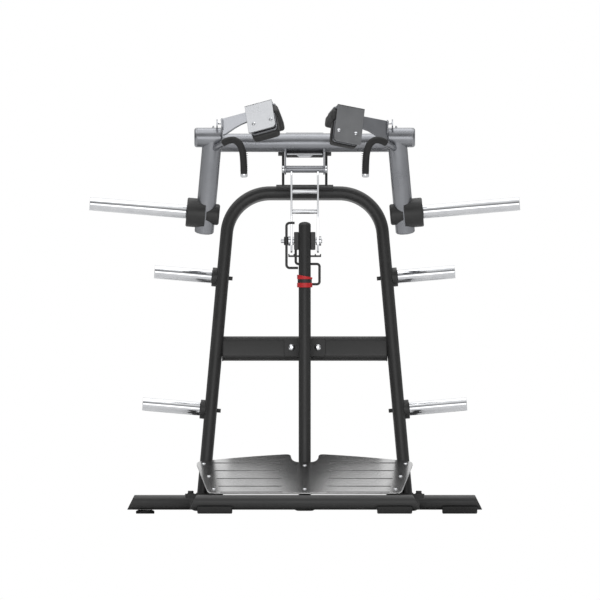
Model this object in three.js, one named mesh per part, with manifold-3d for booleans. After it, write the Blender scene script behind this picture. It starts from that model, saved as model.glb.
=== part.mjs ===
// Plate-loaded standing squat machine: a bent-tube frame, a pivoted yoke with two weight
// arms and two swivelling shoulder pads, a sloping foot plate and a prop that parks the yoke.
// Millimetres, +Z up, the user stands on the -Y side and faces +Y, X is symmetric about 0.
// The origin is on the floor, under the middle of the machine.

import * as THREE from "three";
import { mergeVertices } from "three/addons/utils/BufferGeometryUtils.js";
import Module from "manifold-3d";

const wasm = await Module();
wasm.setup();

// ---------------------------------------------------------------- driving dimensions

const GAP = 0.3; // clearance kept between pieces that touch
const RUN = 0.6; // clearance round a shaft that turns in its bore
const FACET = 1.3; // clearance between round pieces whose facets do not line up
const DEG = Math.PI / 180;

const BEYOND = 900; // half length of tools that pass right through the machine
const DEPTH = 1200; // overall, front floor beam to rear floor beam

const FLOOR_BEAM = { deep: 100, tall: 56, bottom: 15, bevel: 28, wall: 3 };
const FRONT_BEAM_HALF = 437;
const REAR_BEAM_HALF = 672;
const RAIL = { wide: 94, tall: 47, top: 57.5, x: 388, wall: 3 };
const FOOT = { long: 134, wrap: 12, deep: 108, frontX: 340, rearX: 586 };
const LEVEL_FOOT = { radius: 35, x: 603 };

const LEAN = 8 * DEG; // the main arch leans away from the user
const ARCH = { wide: 47, deep: 94, wall: 3, legX: 365, legZ: 278.6, slope: 0.0896, bend: 165, topZ: 1211 };
const ARCH_PLATE = { x: 380.5, long: 144, deep: 150, thick: 13 };
const CROSSBAR = { z: 624.3, tall: 93.4, deep: 47, half: 309.5 };
const CROSSBAR_HOLE = { x: 49.5, radius: 6.3 };

const STORAGE_Z = [895.5, 395.8]; // height of each storage horn where it leaves its flange
const STORAGE_HORN = { long: 218, radius: 25.2, wall: 4 };
const STORAGE_FLANGE = { radius: 36, thick: 19 };

const POST = { wide: 46, deep: 94, wall: 3, y: -80, top: 1091.5, dome: 13 };
const POST_PLATE = { half: 78, tall: 68, thick: 8 };
const POST_HEAD = { half: 40.5, bottom: 997, top: 1065, deep: 62 };
const POST_COLLAR = { wide: 55, deep: 103, bottom: 857.5, tall: 43 };
const CRADLE = { z: 977, thick: 7, deep: 20, inner: 42.5, outer: 57.5, wall: 4.6, tall: 12 };
const WIRE = 4.7; // radius of the bent wire handles
const LOOP = { x: 56, top: 944, bottom: 867.5, bend: 10 };

const PROP = { y: -80, z: 1031, axle: 8, barX: 50, barThick: 8, barWide: 25, tail: 45, rung: 7.6, prong: 4, lift: 2.5 };
const RUNG_Z = [1217.5, 1142];
const PROP_HANDLE = { x: -69, top: 1099, topEnd: -42, bottom: 929, bottomEnd: -28, bend: 12, clamp: 16, clampHalf: 9.5 };
const LOCK = { y: -71, z: 1302, radius: 13.25 };

const PIVOT = { y: 160, z: 1395, tube: 46, axle: 15, half: 70.3 };
const LINK = { plate: 5.7, nose: 14, crown: 46, tail: 51 }; // plate thickness, then its corner radii
const CHEEK = { thick: 9.7, inner: 76.7, boss: 43, bossThick: 14.5 };
const SADDLE = { half: 108, thick: 6 };

const YOKE = { radius: 35, y: -30, z: 1402, sideX: 354, bend: 85, wall: 3.5 };
const SWIVEL = { y: -280, z: 1422, radius: 37.25, inner: 316.4, outer: 407, bore: 20.3, capThick: 10 };
const WEIGHT_ARM = { radius: 36.3, topX: 348.3, slopeX: 0.0897, slopeY: Math.tan(14 * DEG), bottom: 1068, wall: 4 };
const WEIGHT_HORN = { radius: 25.2, z: 1134.4, tilt: 4.9 * DEG, tip: 440, wall: 4 };
const OUTER_COLLAR = { radius: 55, reach: 73 };
const INNER_COLLAR = { radius: 40, reach: 52 };

const INDEX = { x: 331.5, thick: 5, inner: 30, outer: 69, span: 50 * DEG, hole: 4.7, pitch: 12.85 * DEG };
const PIN = { radius: 4, circle: 55, angle: 31.75 * DEG, tip: 328.6, knob: 11, knobInner: 268, boss: 9 };
const SIDE_PLATE = { outer: 316, inner: 310.5, hub: 32 };

const PAD_YAW = 15 * DEG;
const PAD_ROLL = 6.3 * DEG;
const PAD_TIP = { right: -18.9 * DEG, left: -44.6 * DEG }; // parked swivel of each pad
const PAD_CENTRE = { x: 169, y: -96, z: 19 }; // middle of the pad plate from the swivel axis
const PAD_PLATE = { wide: 106, tall: 147, thick: 5, topDeep: 115, corner: 16 };
const BRACKET = { thick: 7.4, tall: 50, v: 21.5, inner: -30, outer: 156 };
const TOP_PAD = { inner: -62, outer: 50, near: 14, far: 122, thick: 45 };
const BACK_PAD = { inner: -50, outer: 45, near: 14, far: 54, bottom: -69, top: 20 };

const FOOTPLATE = { slope: 18 * DEG, nearY: -494, nearZ: 78, thick: 5, notchFrom: 380 };
const WEDGE = { x: 348, thick: 8, near: 24, far: 335 }; // near and far ends along the foot plate
const HANDLE = { radius: 13.2, steps: 14 };
// Points on the handle's axis from the swivel axis, from the weight arm to the grip's end.
const HANDLE_ROUTE = [[338, -20, -40], [313, -68, -26], [290, -98, -12], [265, -110, -9], [246, -112, -24],
  [236, -112, -50], [231.5, -112, -85], [229.5, -112, -138]];

// ---------------------------------------------------------------- materials

function paint(color, roughness, metalness) {
  return new THREE.MeshStandardMaterial({ color, roughness, metalness });
}

const BLACK_PAINT = paint(0x26282a, 0.55, 0.2);
const GREY_PAINT = paint(0x8d9096, 0.35, 0.6);
const PLATE_GREY = paint(0xa4a8ae, 0.3, 0.7);
const CHROME = paint(0xe6e8ea, 0.08, 1);
const BRUSHED = paint(0xb4b7ba, 0.25, 1);
const RUBBER = paint(0x1c1d1e, 0.85, 0);
const LEATHER = paint(0x2b2c2d, 0.65, 0);
const RED = paint(0xc8202a, 0.45, 0);

// ---------------------------------------------------------------- geometry helpers

function bare(geometry) {
  const copy = geometry.clone();
  copy.deleteAttribute("normal");
  copy.deleteAttribute("uv");
  return mergeVertices(copy, 1e-4);
}

function toManifold(geometry) {
  const merged = bare(geometry);
  return new wasm.Manifold(new wasm.Mesh({
    numProp: 3,
    vertProperties: new Float32Array(merged.attributes.position.array),
    triVerts: new Uint32Array(merged.index.array),
  }));
}

function toGeometry(manifold) {
  const mesh = manifold.getMesh();
  const geometry = new THREE.BufferGeometry();
  geometry.setAttribute("position", new THREE.BufferAttribute(new Float32Array(mesh.vertProperties), 3));
  geometry.setIndex(new THREE.BufferAttribute(new Uint32Array(mesh.triVerts), 1));
  return geometry;
}

function join(...pieces) {
  return toGeometry(pieces.map(toManifold).reduce((sum, piece) => sum.add(piece)));
}

function cut(piece, ...tools) {
  return toGeometry(tools.map(toManifold).reduce((rest, tool) => rest.subtract(tool), toManifold(piece)));
}

function keep(piece, region) {
  return toGeometry(toManifold(piece).intersect(toManifold(region)));
}

function mirrored(geometry) {
  const copy = bare(geometry);
  copy.scale(-1, 1, 1);
  const index = copy.index.array;
  for (let i = 0; i < index.length; i += 3) [index[i], index[i + 1]] = [index[i + 1], index[i]];
  return copy;
}

function block(x0, x1, y0, y1, z0, z1) {
  const box = new THREE.BoxGeometry(x1 - x0, y1 - y0, z1 - z0);
  return box.translate((x0 + x1) / 2, (y0 + y1) / 2, (z0 + z1) / 2);
}

// A cylinder from one point to another.
function rod(from, to, radius, sides = 16) {
  const start = new THREE.Vector3(...from);
  const along = new THREE.Vector3(...to).sub(start);
  const geometry = new THREE.CylinderGeometry(radius, radius, along.length(), sides);
  geometry.translate(0, along.length() / 2, 0);
  const turn = new THREE.Quaternion().setFromUnitVectors(new THREE.Vector3(0, 1, 0), along.normalize());
  return geometry.applyQuaternion(turn).translate(start.x, start.y, start.z);
}

// A body of revolution about X: profile points are [x, radius], on the axis at both ends.
function turned(profile, sides = 16) {
  const points = profile.map(([x, radius]) => new THREE.Vector2(radius, x));
  return new THREE.LatheGeometry(points, sides).rotateZ(-Math.PI / 2);
}

// A flat-sided section with two half-round ends.
function obround(wide, tall, steps = 6) {
  const radius = Math.min(wide, tall) / 2;
  const corners = [[1, 1], [-1, 1], [-1, -1], [1, -1]];
  const points = [];
  corners.forEach(([sideX, sideY], quarter) => {
    for (let i = 0; i <= steps / 2; i += 1) {
      const angle = (quarter + (2 * i) / steps) * (Math.PI / 2);
      const x = sideX * (wide / 2 - radius) + radius * Math.cos(angle);
      const y = sideY * (tall / 2 - radius) + radius * Math.sin(angle);
      const last = points[points.length - 1] ?? new THREE.Vector2(1e6, 0);
      if (last.distanceTo(new THREE.Vector2(x, y)) > 1e-6) points.push(new THREE.Vector2(x, y));
    }
  });
  return new THREE.Shape(points);
}

function ring(radius, sides = 14) {
  const angles = Array.from({ length: sides }, (_, i) => (i / sides) * 2 * Math.PI);
  return new THREE.Shape(angles.map((a) => new THREE.Vector2(radius * Math.cos(a), radius * Math.sin(a))));
}

function extruded(shape, depth, curveSegments = 4) {
  return new THREE.ExtrudeGeometry(shape, { depth, bevelEnabled: false, curveSegments });
}

// A shape drawn in (Y, Z) and given a thickness along X.
function sidePlate(shape, x0, x1, curveSegments = 4) {
  const geometry = extruded(shape, x1 - x0, curveSegments);
  geometry.applyMatrix4(new THREE.Matrix4().set(0, 0, 1, x0, 1, 0, 0, 0, 0, 1, 0, 0, 0, 0, 0, 1));
  return geometry;
}

// A section drawn in (Y, Z) and swept along X.
function barAlongX(shape, half, y, z) {
  return sidePlate(shape, -half, half).translate(0, y, z);
}

// A section drawn in (X, Z) and swept along Y.
function barAlongY(shape, y0, y1, x, z) {
  const geometry = extruded(shape, y1 - y0);
  geometry.applyMatrix4(new THREE.Matrix4().set(1, 0, 0, x, 0, 0, -1, y1, 0, 1, 0, z, 0, 0, 0, 1));
  return geometry;
}

function swept(shape, curve, steps) {
  return new THREE.ExtrudeGeometry(shape, { steps, extrudePath: curve, bevelEnabled: false });
}

// Straight runs joined by round bends of one radius, as one curve.
function bentPath(points, radius, bendSteps = 5) {
  const corners = points.map((p) => new THREE.Vector3(...p));
  const route = [corners[0]];
  for (let i = 1; i < corners.length - 1; i += 1) {
    const into = corners[i].clone().sub(corners[i - 1]).normalize();
    const out = corners[i + 1].clone().sub(corners[i]).normalize();
    const turn = into.angleTo(out);
    const reach = radius * Math.tan(turn / 2);
    const start = corners[i].clone().addScaledVector(into, -reach);
    const toCentre = out.clone().addScaledVector(into, -into.dot(out)).normalize();
    for (let step = 0; step <= bendSteps; step += 1) {
      const angle = (turn * step) / bendSteps;
      const point = start.clone().addScaledVector(into, radius * Math.sin(angle));
      route.push(point.addScaledVector(toCentre, radius * (1 - Math.cos(angle))));
    }
  }
  route.push(corners[corners.length - 1]);
  return new PointPath(route);
}

// A curve that visits every given point exactly, one step per span.
class PointPath extends THREE.Curve {
  constructor(points) {
    super();
    this.points = points;
  }

  get spans() {
    return this.points.length - 1;
  }

  getPoint(t, target = new THREE.Vector3()) {
    const place = Math.min(t, 1) * this.spans;
    const from = Math.min(Math.floor(place + 1e-9), this.spans - 1);
    return target.lerpVectors(this.points[from], this.points[from + 1], place - from);
  }

  getPointAt(u, target) {
    return this.getPoint(u, target);
  }

  getTangent(t, target = new THREE.Vector3()) {
    const place = Math.min(t, 1) * this.spans;
    const node = Math.round(place);
    const before = this.points[Math.max(node - 1, 0)];
    const here = this.points[node];
    const after = this.points[Math.min(node + 1, this.spans)];
    const into = here.clone().sub(before);
    const out = after.clone().sub(here);
    if (into.lengthSq() > 0) into.normalize();
    if (out.lengthSq() > 0) out.normalize();
    return target.copy(into).add(out).normalize();
  }

  getTangentAt(u, target) {
    return this.getTangent(u, target);
  }
}

function tube(shape, path) {
  return swept(shape, path, path.spans);
}

// ---------------------------------------------------------------- scene helpers

const machine = new THREE.Group();
const archFrame = new THREE.Group();
archFrame.position.set(0, -CROSSBAR.z * Math.tan(LEAN), 0);
archFrame.rotation.x = -LEAN;
machine.add(archFrame);

function add(name, geometry, material, parent = machine) {
  const mesh = new THREE.Mesh(geometry, material);
  mesh.name = name;
  parent.add(mesh);
  return mesh;
}

function addPair(name, geometry, material, parent = machine) {
  add(`right_${name}`, geometry, material, parent);
  add(`left_${name}`, mirrored(geometry), material, parent);
}

// ---------------------------------------------------------------- base

const FRONT_Y = -DEPTH / 2 + FLOOR_BEAM.deep / 2;
const REAR_Y = -FRONT_Y;
const BEAM_Z = FLOOR_BEAM.bottom + FLOOR_BEAM.tall / 2;

function floorBeam(half, y) {
  const { deep, tall, bevel, wall } = FLOOR_BEAM;
  const outer = barAlongX(obround(deep, tall), half, y, BEAM_Z);
  const inner = barAlongX(obround(deep - 2 * wall, tall - 2 * wall), half - 1.6 * bevel, y, BEAM_Z);
  const vent = rod([half / 2, y, 0], [half / 2, y, BEAM_Z], 6, 12);
  const slant = (side) => {
    const tool = new THREE.Shape();
    tool.moveTo(side * half, -1);
    tool.lineTo(side * (half - bevel), tall + 1);
    tool.lineTo(side * (half + bevel), tall + 1);
    tool.lineTo(side * (half + bevel), -1);
    return barAlongY(tool, y - deep, y + deep, 0, FLOOR_BEAM.bottom);
  };
  return cut(outer, inner, vent, slant(1), slant(-1));
}

function beamEnvelope(half, y) {
  const { deep, tall } = FLOOR_BEAM;
  return barAlongX(obround(deep + 2 * GAP, tall + 2 * GAP), half, y, BEAM_Z);
}

function floorRail(x) {
  const z = RAIL.top - RAIL.tall / 2;
  const inset = FLOOR_BEAM.tall / 2;
  const section = (grow) => obround(RAIL.wide - 2 * grow, RAIL.tall - 2 * grow);
  const outer = barAlongY(section(0), FRONT_Y + inset, REAR_Y - inset, x, z);
  const inner = barAlongY(section(RAIL.wall), FRONT_Y, REAR_Y, x, z);
  return cut(outer, inner, beamEnvelope(BEYOND, FRONT_Y), beamEnvelope(BEYOND, REAR_Y));
}

function shoe(x, y, backReach) {
  const { long, wrap, deep } = FOOT;
  const body = block(x - long / 2, x + long / 2, y - deep / 2, y + backReach, 0, FLOOR_BEAM.bottom + wrap);
  return cut(body, beamEnvelope(BEYOND, y));
}

function levellingFoot(x, y) {
  const top = FLOOR_BEAM.bottom - GAP;
  const { radius } = LEVEL_FOOT;
  const profile = [[0, 0], [0, radius - 1.5], [1.5, radius], [top - 5, radius], [top, radius - 9], [top, 0]];
  return turned(profile).rotateY(-Math.PI / 2).translate(x, y, 0);
}

function addBase() {
  add("front_floor_beam", floorBeam(FRONT_BEAM_HALF, FRONT_Y), BLACK_PAINT);
  add("rear_floor_beam", floorBeam(REAR_BEAM_HALF, REAR_Y), BLACK_PAINT);
  add("left_floor_rail", floorRail(-RAIL.x), BLACK_PAINT);
  add("right_floor_rail", floorRail(RAIL.x), BLACK_PAINT);
  add("centre_floor_rail", floorRail(0), BLACK_PAINT);
  const railStart = FLOOR_BEAM.tall / 2 - 1;
  add("front_left_foot", shoe(-FOOT.frontX, FRONT_Y, railStart), RUBBER);
  add("front_right_foot", shoe(FOOT.frontX, FRONT_Y, railStart), RUBBER);
  add("rear_right_foot", shoe(FOOT.rearX, REAR_Y, FOOT.deep / 2), RUBBER);
  add("rear_left_levelling_foot", levellingFoot(-LEVEL_FOOT.x, REAR_Y), RUBBER);
}

// ---------------------------------------------------------------- foot plate

// Outline in (X, distance up the slope).
function footplateOutline() {
  const shape = new THREE.Shape();
  const right = [[343, 0], [369, 37], [407, 338], [392, 392]];
  shape.moveTo(-right[0][0], 0);
  shape.lineTo(right[0][0], 0);
  shape.quadraticCurveTo(363, 2, ...right[1]);
  shape.lineTo(...right[2]);
  shape.quadraticCurveTo(412, 384, ...right[3]);
  shape.quadraticCurveTo(232, 448, 72, 476);
  shape.quadraticCurveTo(54, 478, 52, 455);
  shape.quadraticCurveTo(51, FOOTPLATE.notchFrom + 4, 20, FOOTPLATE.notchFrom);
  shape.lineTo(-20, FOOTPLATE.notchFrom);
  shape.quadraticCurveTo(-51, FOOTPLATE.notchFrom + 4, -52, 455);
  shape.quadraticCurveTo(-54, 478, -72, 476);
  shape.quadraticCurveTo(-232, 448, -right[3][0], right[3][1]);
  shape.quadraticCurveTo(-412, 384, -right[2][0], right[2][1]);
  shape.lineTo(-right[1][0], right[1][1]);
  shape.quadraticCurveTo(-363, 2, -right[0][0], 0);
  return shape;
}

function footplate() {
  const plate = extruded(footplateOutline(), FOOTPLATE.thick, 5).translate(0, 0, -FOOTPLATE.thick);
  return plate.rotateX(FOOTPLATE.slope).translate(0, FOOTPLATE.nearY, FOOTPLATE.nearZ);
}

// Upright plate under the foot plate, standing on a floor rail.
function footplateWedge() {
  const { x, thick, near, far } = WEDGE;
  const rise = Math.tan(FOOTPLATE.slope);
  const drop = FOOTPLATE.thick / Math.cos(FOOTPLATE.slope) + GAP;
  const shape = new THREE.Shape();
  const under = (distance) => FOOTPLATE.nearZ + distance * rise - drop;
  shape.moveTo(FOOTPLATE.nearY + near, RAIL.top + GAP);
  shape.lineTo(FOOTPLATE.nearY + far, RAIL.top + GAP);
  shape.lineTo(FOOTPLATE.nearY + far, under(far));
  shape.lineTo(FOOTPLATE.nearY + near, under(near));
  return sidePlate(shape, x - thick / 2, x + thick / 2);
}

function addFootplate() {
  add("footplate", footplate(), BRUSHED);
  addPair("footplate_wedge", footplateWedge(), BLACK_PAINT);
}

// ---------------------------------------------------------------- main arch

// Heights in the leaning frame are measured along the slope.
const up = (z) => z / Math.cos(LEAN);
const legX = (z) => ARCH.legX - (z - ARCH.legZ) * ARCH.slope;
const ARCH_FOOT_Z = 63;

function archPath(startZ) {
  const topX = legX(ARCH.topZ);
  const points = [
    [-legX(startZ), 0, up(startZ)],
    [-topX, 0, up(ARCH.topZ)],
    [topX, 0, up(ARCH.topZ)],
    [legX(startZ), 0, up(startZ)],
  ];
  return bentPath(points, ARCH.bend, 6);
}

function archTube(shrink, startZ) {
  return tube(obround(ARCH.deep - 2 * shrink, ARCH.wide - 2 * shrink), archPath(startZ));
}

function footFlange(side) {
  const plate = extruded(roundedRect(ARCH_PLATE.long, ARCH_PLATE.deep, 12), ARCH_PLATE.thick);
  return plate.translate(side * ARCH_PLATE.x, 0, 0);
}

function roundedRect(wide, tall, radius) {
  const shape = new THREE.Shape();
  const x = wide / 2;
  const y = tall / 2;
  shape.moveTo(-x + radius, -y);
  shape.lineTo(x - radius, -y);
  shape.quadraticCurveTo(x, -y, x, -y + radius);
  shape.lineTo(x, y - radius);
  shape.quadraticCurveTo(x, y, x - radius, y);
  shape.lineTo(-x + radius, y);
  shape.quadraticCurveTo(-x, y, -x, y - radius);
  shape.lineTo(-x, -y + radius);
  shape.quadraticCurveTo(-x, -y, -x + radius, -y);
  return shape;
}

// The arch is built upright, leaned, and joined to its level foot flanges.
function mainArch() {
  const lean = (geometry) => geometry.rotateX(-LEAN).translate(0, archFrame.position.y, 0);
  const level = RAIL.top + GAP;
  const footY = (level - CROSSBAR.z) * Math.tan(LEAN);
  const outer = lean(archTube(0, ARCH_FOOT_Z + 20));
  const bore = lean(archTube(ARCH.wall, 0));
  const stubs = [-1, 1].map((side) => {
    const stub = new THREE.ExtrudeGeometry(obround(ARCH.wide, ARCH.deep), { depth: 40, bevelEnabled: false });
    return stub.translate(side * legX(ARCH_FOOT_Z), footY + 2, level);
  });
  const flanges = [-1, 1].map((side) => footFlange(side).translate(0, footY, level));
  return cut(join(outer, ...stubs, ...flanges), bore);
}

function addArch() {
  add("main_arch", mainArch(), BLACK_PAINT);
  const inner = CROSSBAR.half + 20;
  const bar = barAlongX(obround(CROSSBAR.deep, CROSSBAR.tall), inner, 0, up(CROSSBAR.z));
  const bore = barAlongX(obround(CROSSBAR.deep - 6, CROSSBAR.tall - 6), inner + 1, 0, up(CROSSBAR.z));
  const around = archTube(-GAP, 0);
  add("crossbar", cut(bar, bore, around), BLACK_PAINT, archFrame);
}

// ---------------------------------------------------------------- plate storage

function storageHorn(flangeZ) {
  const { long, radius, wall } = STORAGE_HORN;
  const blind = [[0, radius - wall], [0, radius], [long - 2, radius], [long, radius - 2], [long, 0]];
  const profile = [...blind, [long - wall, 0], [long - wall, radius - wall], [0, radius - wall]];
  return placeOnLeg(turned(profile), flangeZ, GAP);
}

function storageFlange(flangeZ) {
  const { radius, thick } = STORAGE_FLANGE;
  const profile = [[-thick - 8, 0], [-thick - 8, radius], [-2, radius], [0, radius - 2], [0, 0]];
  return cut(placeOnLeg(turned(profile), flangeZ, 0), archTube(-GAP, 0));
}

// X = 0 of the piece goes to the flange's outer face, square to the leg's outer edge.
function placeOnLeg(geometry, flangeZ, gap) {
  const tilt = Math.atan(ARCH.slope);
  const faceX = legX(flangeZ) + ARCH.wide / 2 + STORAGE_FLANGE.thick - 2;
  return geometry.translate(gap, 0, 0).rotateY(-tilt).translate(faceX, 0, up(flangeZ));
}

function addStorage() {
  ["upper", "lower"].forEach((level, i) => {
    addPair(`${level}_storage_horn`, storageHorn(STORAGE_Z[i]), CHROME, archFrame);
    addPair(`${level}_storage_flange`, storageFlange(STORAGE_Z[i]), RUBBER, archFrame);
  });
}

// ---------------------------------------------------------------- post and its fittings

function postColumn(shrink, z0, z1) {
  const section = obround(POST.wide - 2 * shrink, POST.deep - 2 * shrink);
  return extruded(section, z1 - z0).translate(0, POST.y, z0);
}

function postDome() {
  const ellipsoid = new THREE.SphereGeometry(1, 16, 8);
  ellipsoid.scale(POST.wide * 0.62, POST.deep * 0.58, POST.dome * 2).translate(0, POST.y, POST.top - POST.dome);
  return keep(ellipsoid, postColumn(0, POST.top - POST.dome, POST.top + 2 * POST.dome));
}

function cradleOutline(grow) {
  const { z, thick, inner, outer, wall, tall } = CRADLE;
  const shape = new THREE.Shape();
  const halves = [[inner - wall, thick], [inner - wall, tall], [inner, tall], [inner, thick],
    [outer, thick], [outer, tall], [outer + wall, tall], [outer + wall, 0]];
  shape.moveTo(-outer - wall - grow, -grow);
  const point = (x, y) => shape.lineTo(x, y);
  [...halves].reverse().forEach(([x, y]) => point(-x - (x > outer ? grow : 0), y === 0 ? -grow : y + grow));
  halves.forEach(([x, y]) => point(x + (x > outer ? grow : 0), y === 0 ? -grow : y + grow));
  return { shape, base: z - thick };
}

function cradle(grow = 0) {
  const { shape, base } = cradleOutline(grow);
  return barAlongY(shape, POST.y - CRADLE.deep / 2 - grow, POST.y + CRADLE.deep / 2 + grow, 0, base);
}

function post() {
  const bottom = RAIL.top + GAP;
  const head = block(-POST_HEAD.half, POST_HEAD.half, POST.y - POST_HEAD.deep / 2, POST.y + POST_HEAD.deep / 2,
    POST_HEAD.bottom, POST_HEAD.top);
  const shell = join(postColumn(0, bottom, POST.top - POST.dome), postDome(), head);
  const hollow = postColumn(POST.wall, bottom - 1, POST_HEAD.bottom - 60);
  const bore = rod([-60, PROP.y, PROP.z], [60, PROP.y, PROP.z], PROP.axle + RUN);
  return cut(shell, hollow, bore, cradle(GAP));
}

// Plate between the post and the leaning crossbar; the two bolts go through it.
function postPlate() {
  const { half, tall, thick } = POST_PLATE;
  const backY = -CROSSBAR.deep / 2 - GAP;
  const plate = block(-half, half, backY - thick, backY, -tall / 2, tall / 2);
  const spacer = block(-POST.wide / 2 + 2, POST.wide / 2 - 2, backY - 30, backY, -tall / 2, tall / 2);
  const body = join(plate, spacer).translate(0, 0, up(CROSSBAR.z));
  const holes = [-1, 1].map((side) => rod([side * CROSSBAR_HOLE.x, -90, up(CROSSBAR.z)],
    [side * CROSSBAR_HOLE.x, 0, up(CROSSBAR.z)], CROSSBAR_HOLE.radius, 10));
  const leaning = cut(body, ...holes).rotateX(-LEAN).translate(0, archFrame.position.y, 0);
  const nearPost = postColumn(-GAP, 0, POST.top);
  return cut(leaning, nearPost);
}

function postCollar() {
  const { wide, deep, bottom, tall } = POST_COLLAR;
  const outer = extruded(obround(wide, deep), tall).translate(0, POST.y, bottom);
  return cut(outer, postColumn(-GAP, bottom - 1, bottom + tall + 1));
}

function postLoop() {
  const { x, top, bottom, bend } = LOOP;
  const points = [[POST.wide / 2 + GAP, POST.y, top], [x, POST.y, top], [x, POST.y, bottom],
    [POST_COLLAR.wide / 2 + GAP, POST.y, bottom]];
  return tube(ring(WIRE, 8), bentPath(points, bend, 3));
}

function addPost() {
  add("post", post(), BLACK_PAINT);
  add("post_mounting_plate", postPlate(), BLACK_PAINT);
  add("post_collar", postCollar(), RED);
  add("post_wire_loop", postLoop(), BLACK_PAINT);
  add("prop_cradle", cradle(), BLACK_PAINT);
}

// ---------------------------------------------------------------- prop that parks the yoke

// Bar outline in (Y, Z) from the axle: a tail, a long strut and a hook under the lock tube.
function propBar() {
  const seat = LOCK.z - LOCK.radius - PROP.lift - PROP.z;
  const offset = LOCK.y - PROP.y;
  const half = PROP.barWide / 2;
  const prong = offset - LOCK.radius - 1;
  const shape = new THREE.Shape();
  shape.moveTo(-half, 0);
  shape.lineTo(-half + 4, -PROP.tail + 6);
  shape.quadraticCurveTo(0, -PROP.tail - 6, half - 4, -PROP.tail + 6);
  shape.lineTo(half, 0);
  shape.lineTo(offset + half, seat - 12);
  shape.lineTo(offset + half - 3, seat);
  shape.lineTo(prong, seat);
  shape.lineTo(prong, seat + PROP.prong);
  shape.lineTo(prong - 7, seat + PROP.prong);
  shape.lineTo(prong - 7, seat - 18);
  shape.lineTo(offset - half, seat - 34);
  return sidePlate(shape, PROP.barX - PROP.barThick / 2, PROP.barX + PROP.barThick / 2)
    .translate(0, PROP.y, PROP.z);
}

function propArm() {
  const lean = (LOCK.y - PROP.y) / (LOCK.z - PROP.z);
  const rungs = RUNG_Z.map((z) => {
    const y = PROP.y + (z - PROP.z) * lean;
    return rod([-PROP.barX, y, z], [PROP.barX, y, z], PROP.rung, 12);
  });
  const bore = rod([-90, PROP.y, PROP.z], [90, PROP.y, PROP.z], PROP.axle + RUN);
  return cut(join(propBar(), mirrored(propBar()), ...rungs), bore);
}

function propAxle() {
  const rim = PROP.barX + PROP.barThick / 2 + GAP;
  const right = [[rim, PROP.axle], [rim, 14], [rim + 4, 14], [rim + 5, 12], [rim + 5, 0]];
  const profile = [[-90, 0], [-90, PROP.axle], ...right];
  return turned(profile).translate(0, PROP.y, PROP.z);
}

// Bent wire lever clamped on the axle's left end.
function propHandle() {
  const { x, top, topEnd, bottom, bottomEnd, bend, clamp, clampHalf } = PROP_HANDLE;
  const y = PROP.y - PROP.barWide / 2 - WIRE;
  const points = [[topEnd, y, top], [x, y, top], [x, y, bottom], [bottomEnd, y, bottom]];
  const wire = tube(ring(WIRE, 8), bentPath(points, bend, 3));
  const hub = rod([x - clampHalf, PROP.y, PROP.z], [x + clampHalf, PROP.y, PROP.z], clamp, 14);
  const bore = rod([-100, PROP.y, PROP.z], [0, PROP.y, PROP.z], PROP.axle + RUN);
  return cut(join(wire, hub), bore);
}

function addProp() {
  add("prop_arm", propArm(), CHROME);
  add("prop_axle", propAxle(), CHROME);
  add("prop_handle", propHandle(), BLACK_PAINT);
}

// ---------------------------------------------------------------- main pivot

function cheekOutline() {
  const shape = new THREE.Shape();
  const baseZ = ARCH.topZ + 8;
  const archY = (ARCH.topZ - CROSSBAR.z) * Math.tan(LEAN);
  shape.moveTo(archY - 44, baseZ);
  shape.lineTo(archY + 52, baseZ);
  shape.lineTo(PIVOT.y + CHEEK.boss, PIVOT.z - 6);
  shape.absarc(PIVOT.y, PIVOT.z, CHEEK.boss, -0.14, Math.PI + 0.1, false);
  return shape;
}

function cheek() {
  const boss = rod([CHEEK.inner, PIVOT.y, PIVOT.z],
    [CHEEK.inner + CHEEK.thick + CHEEK.bossThick, PIVOT.y, PIVOT.z], CHEEK.boss);
  return join(sidePlate(cheekOutline(), CHEEK.inner, CHEEK.inner + CHEEK.thick, 6), boss);
}

// Half shell over the top run of the arch, which carries both cheeks.
function saddle() {
  const grow = 2 * SADDLE.thick;
  const shell = barAlongX(obround(ARCH.deep + grow, ARCH.wide + grow), SADDLE.half, 0, up(ARCH.topZ));
  const upper = block(-200, 200, -100, 100, up(ARCH.topZ) + 7, up(ARCH.topZ) + 80);
  return keep(shell, upper).rotateX(-LEAN).translate(0, archFrame.position.y, 0);
}

function archTopEnvelope() {
  const bar = barAlongX(obround(ARCH.deep + 2 * GAP, ARCH.wide + 2 * GAP), 200, 0, up(ARCH.topZ));
  return bar.rotateX(-LEAN).translate(0, archFrame.position.y, 0);
}

function pivotClevis() {
  const bore = rod([-150, PIVOT.y, PIVOT.z], [150, PIVOT.y, PIVOT.z], PIVOT.axle + RUN);
  return cut(join(saddle(), cheek(), mirrored(cheek())), archTopEnvelope(), bore);
}

function pivotAxle() {
  const rim = CHEEK.inner + CHEEK.thick + CHEEK.bossThick + GAP;
  const head = [[rim, PIVOT.axle], [rim, 21], [rim + 8, 21], [rim + 10, 18], [rim + 10, 0]];
  const tail = head.map(([x, radius]) => [-x, radius]).reverse();
  return turned([...tail, ...head]).translate(0, PIVOT.y, PIVOT.z);
}

// ---------------------------------------------------------------- yoke

function linkPlateOutline() {
  const shape = new THREE.Shape();
  const { nose, crown, tail } = LINK;
  shape.moveTo(PIVOT.y + 10, PIVOT.z - tail + 1);
  shape.lineTo(LOCK.y + 6, LOCK.z - nose);
  shape.absarc(LOCK.y, LOCK.z, nose, -1.2, -Math.PI - 0.25, true);
  shape.lineTo(YOKE.y - crown - 4, YOKE.z - 10);
  shape.absarc(YOKE.y, YOKE.z, crown, Math.PI - 0.2, Math.PI / 2, true);
  shape.lineTo(PIVOT.y, PIVOT.z + tail);
  shape.absarc(PIVOT.y, PIVOT.z, tail, Math.PI / 2, -1.35, true);
  return shape;
}

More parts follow.
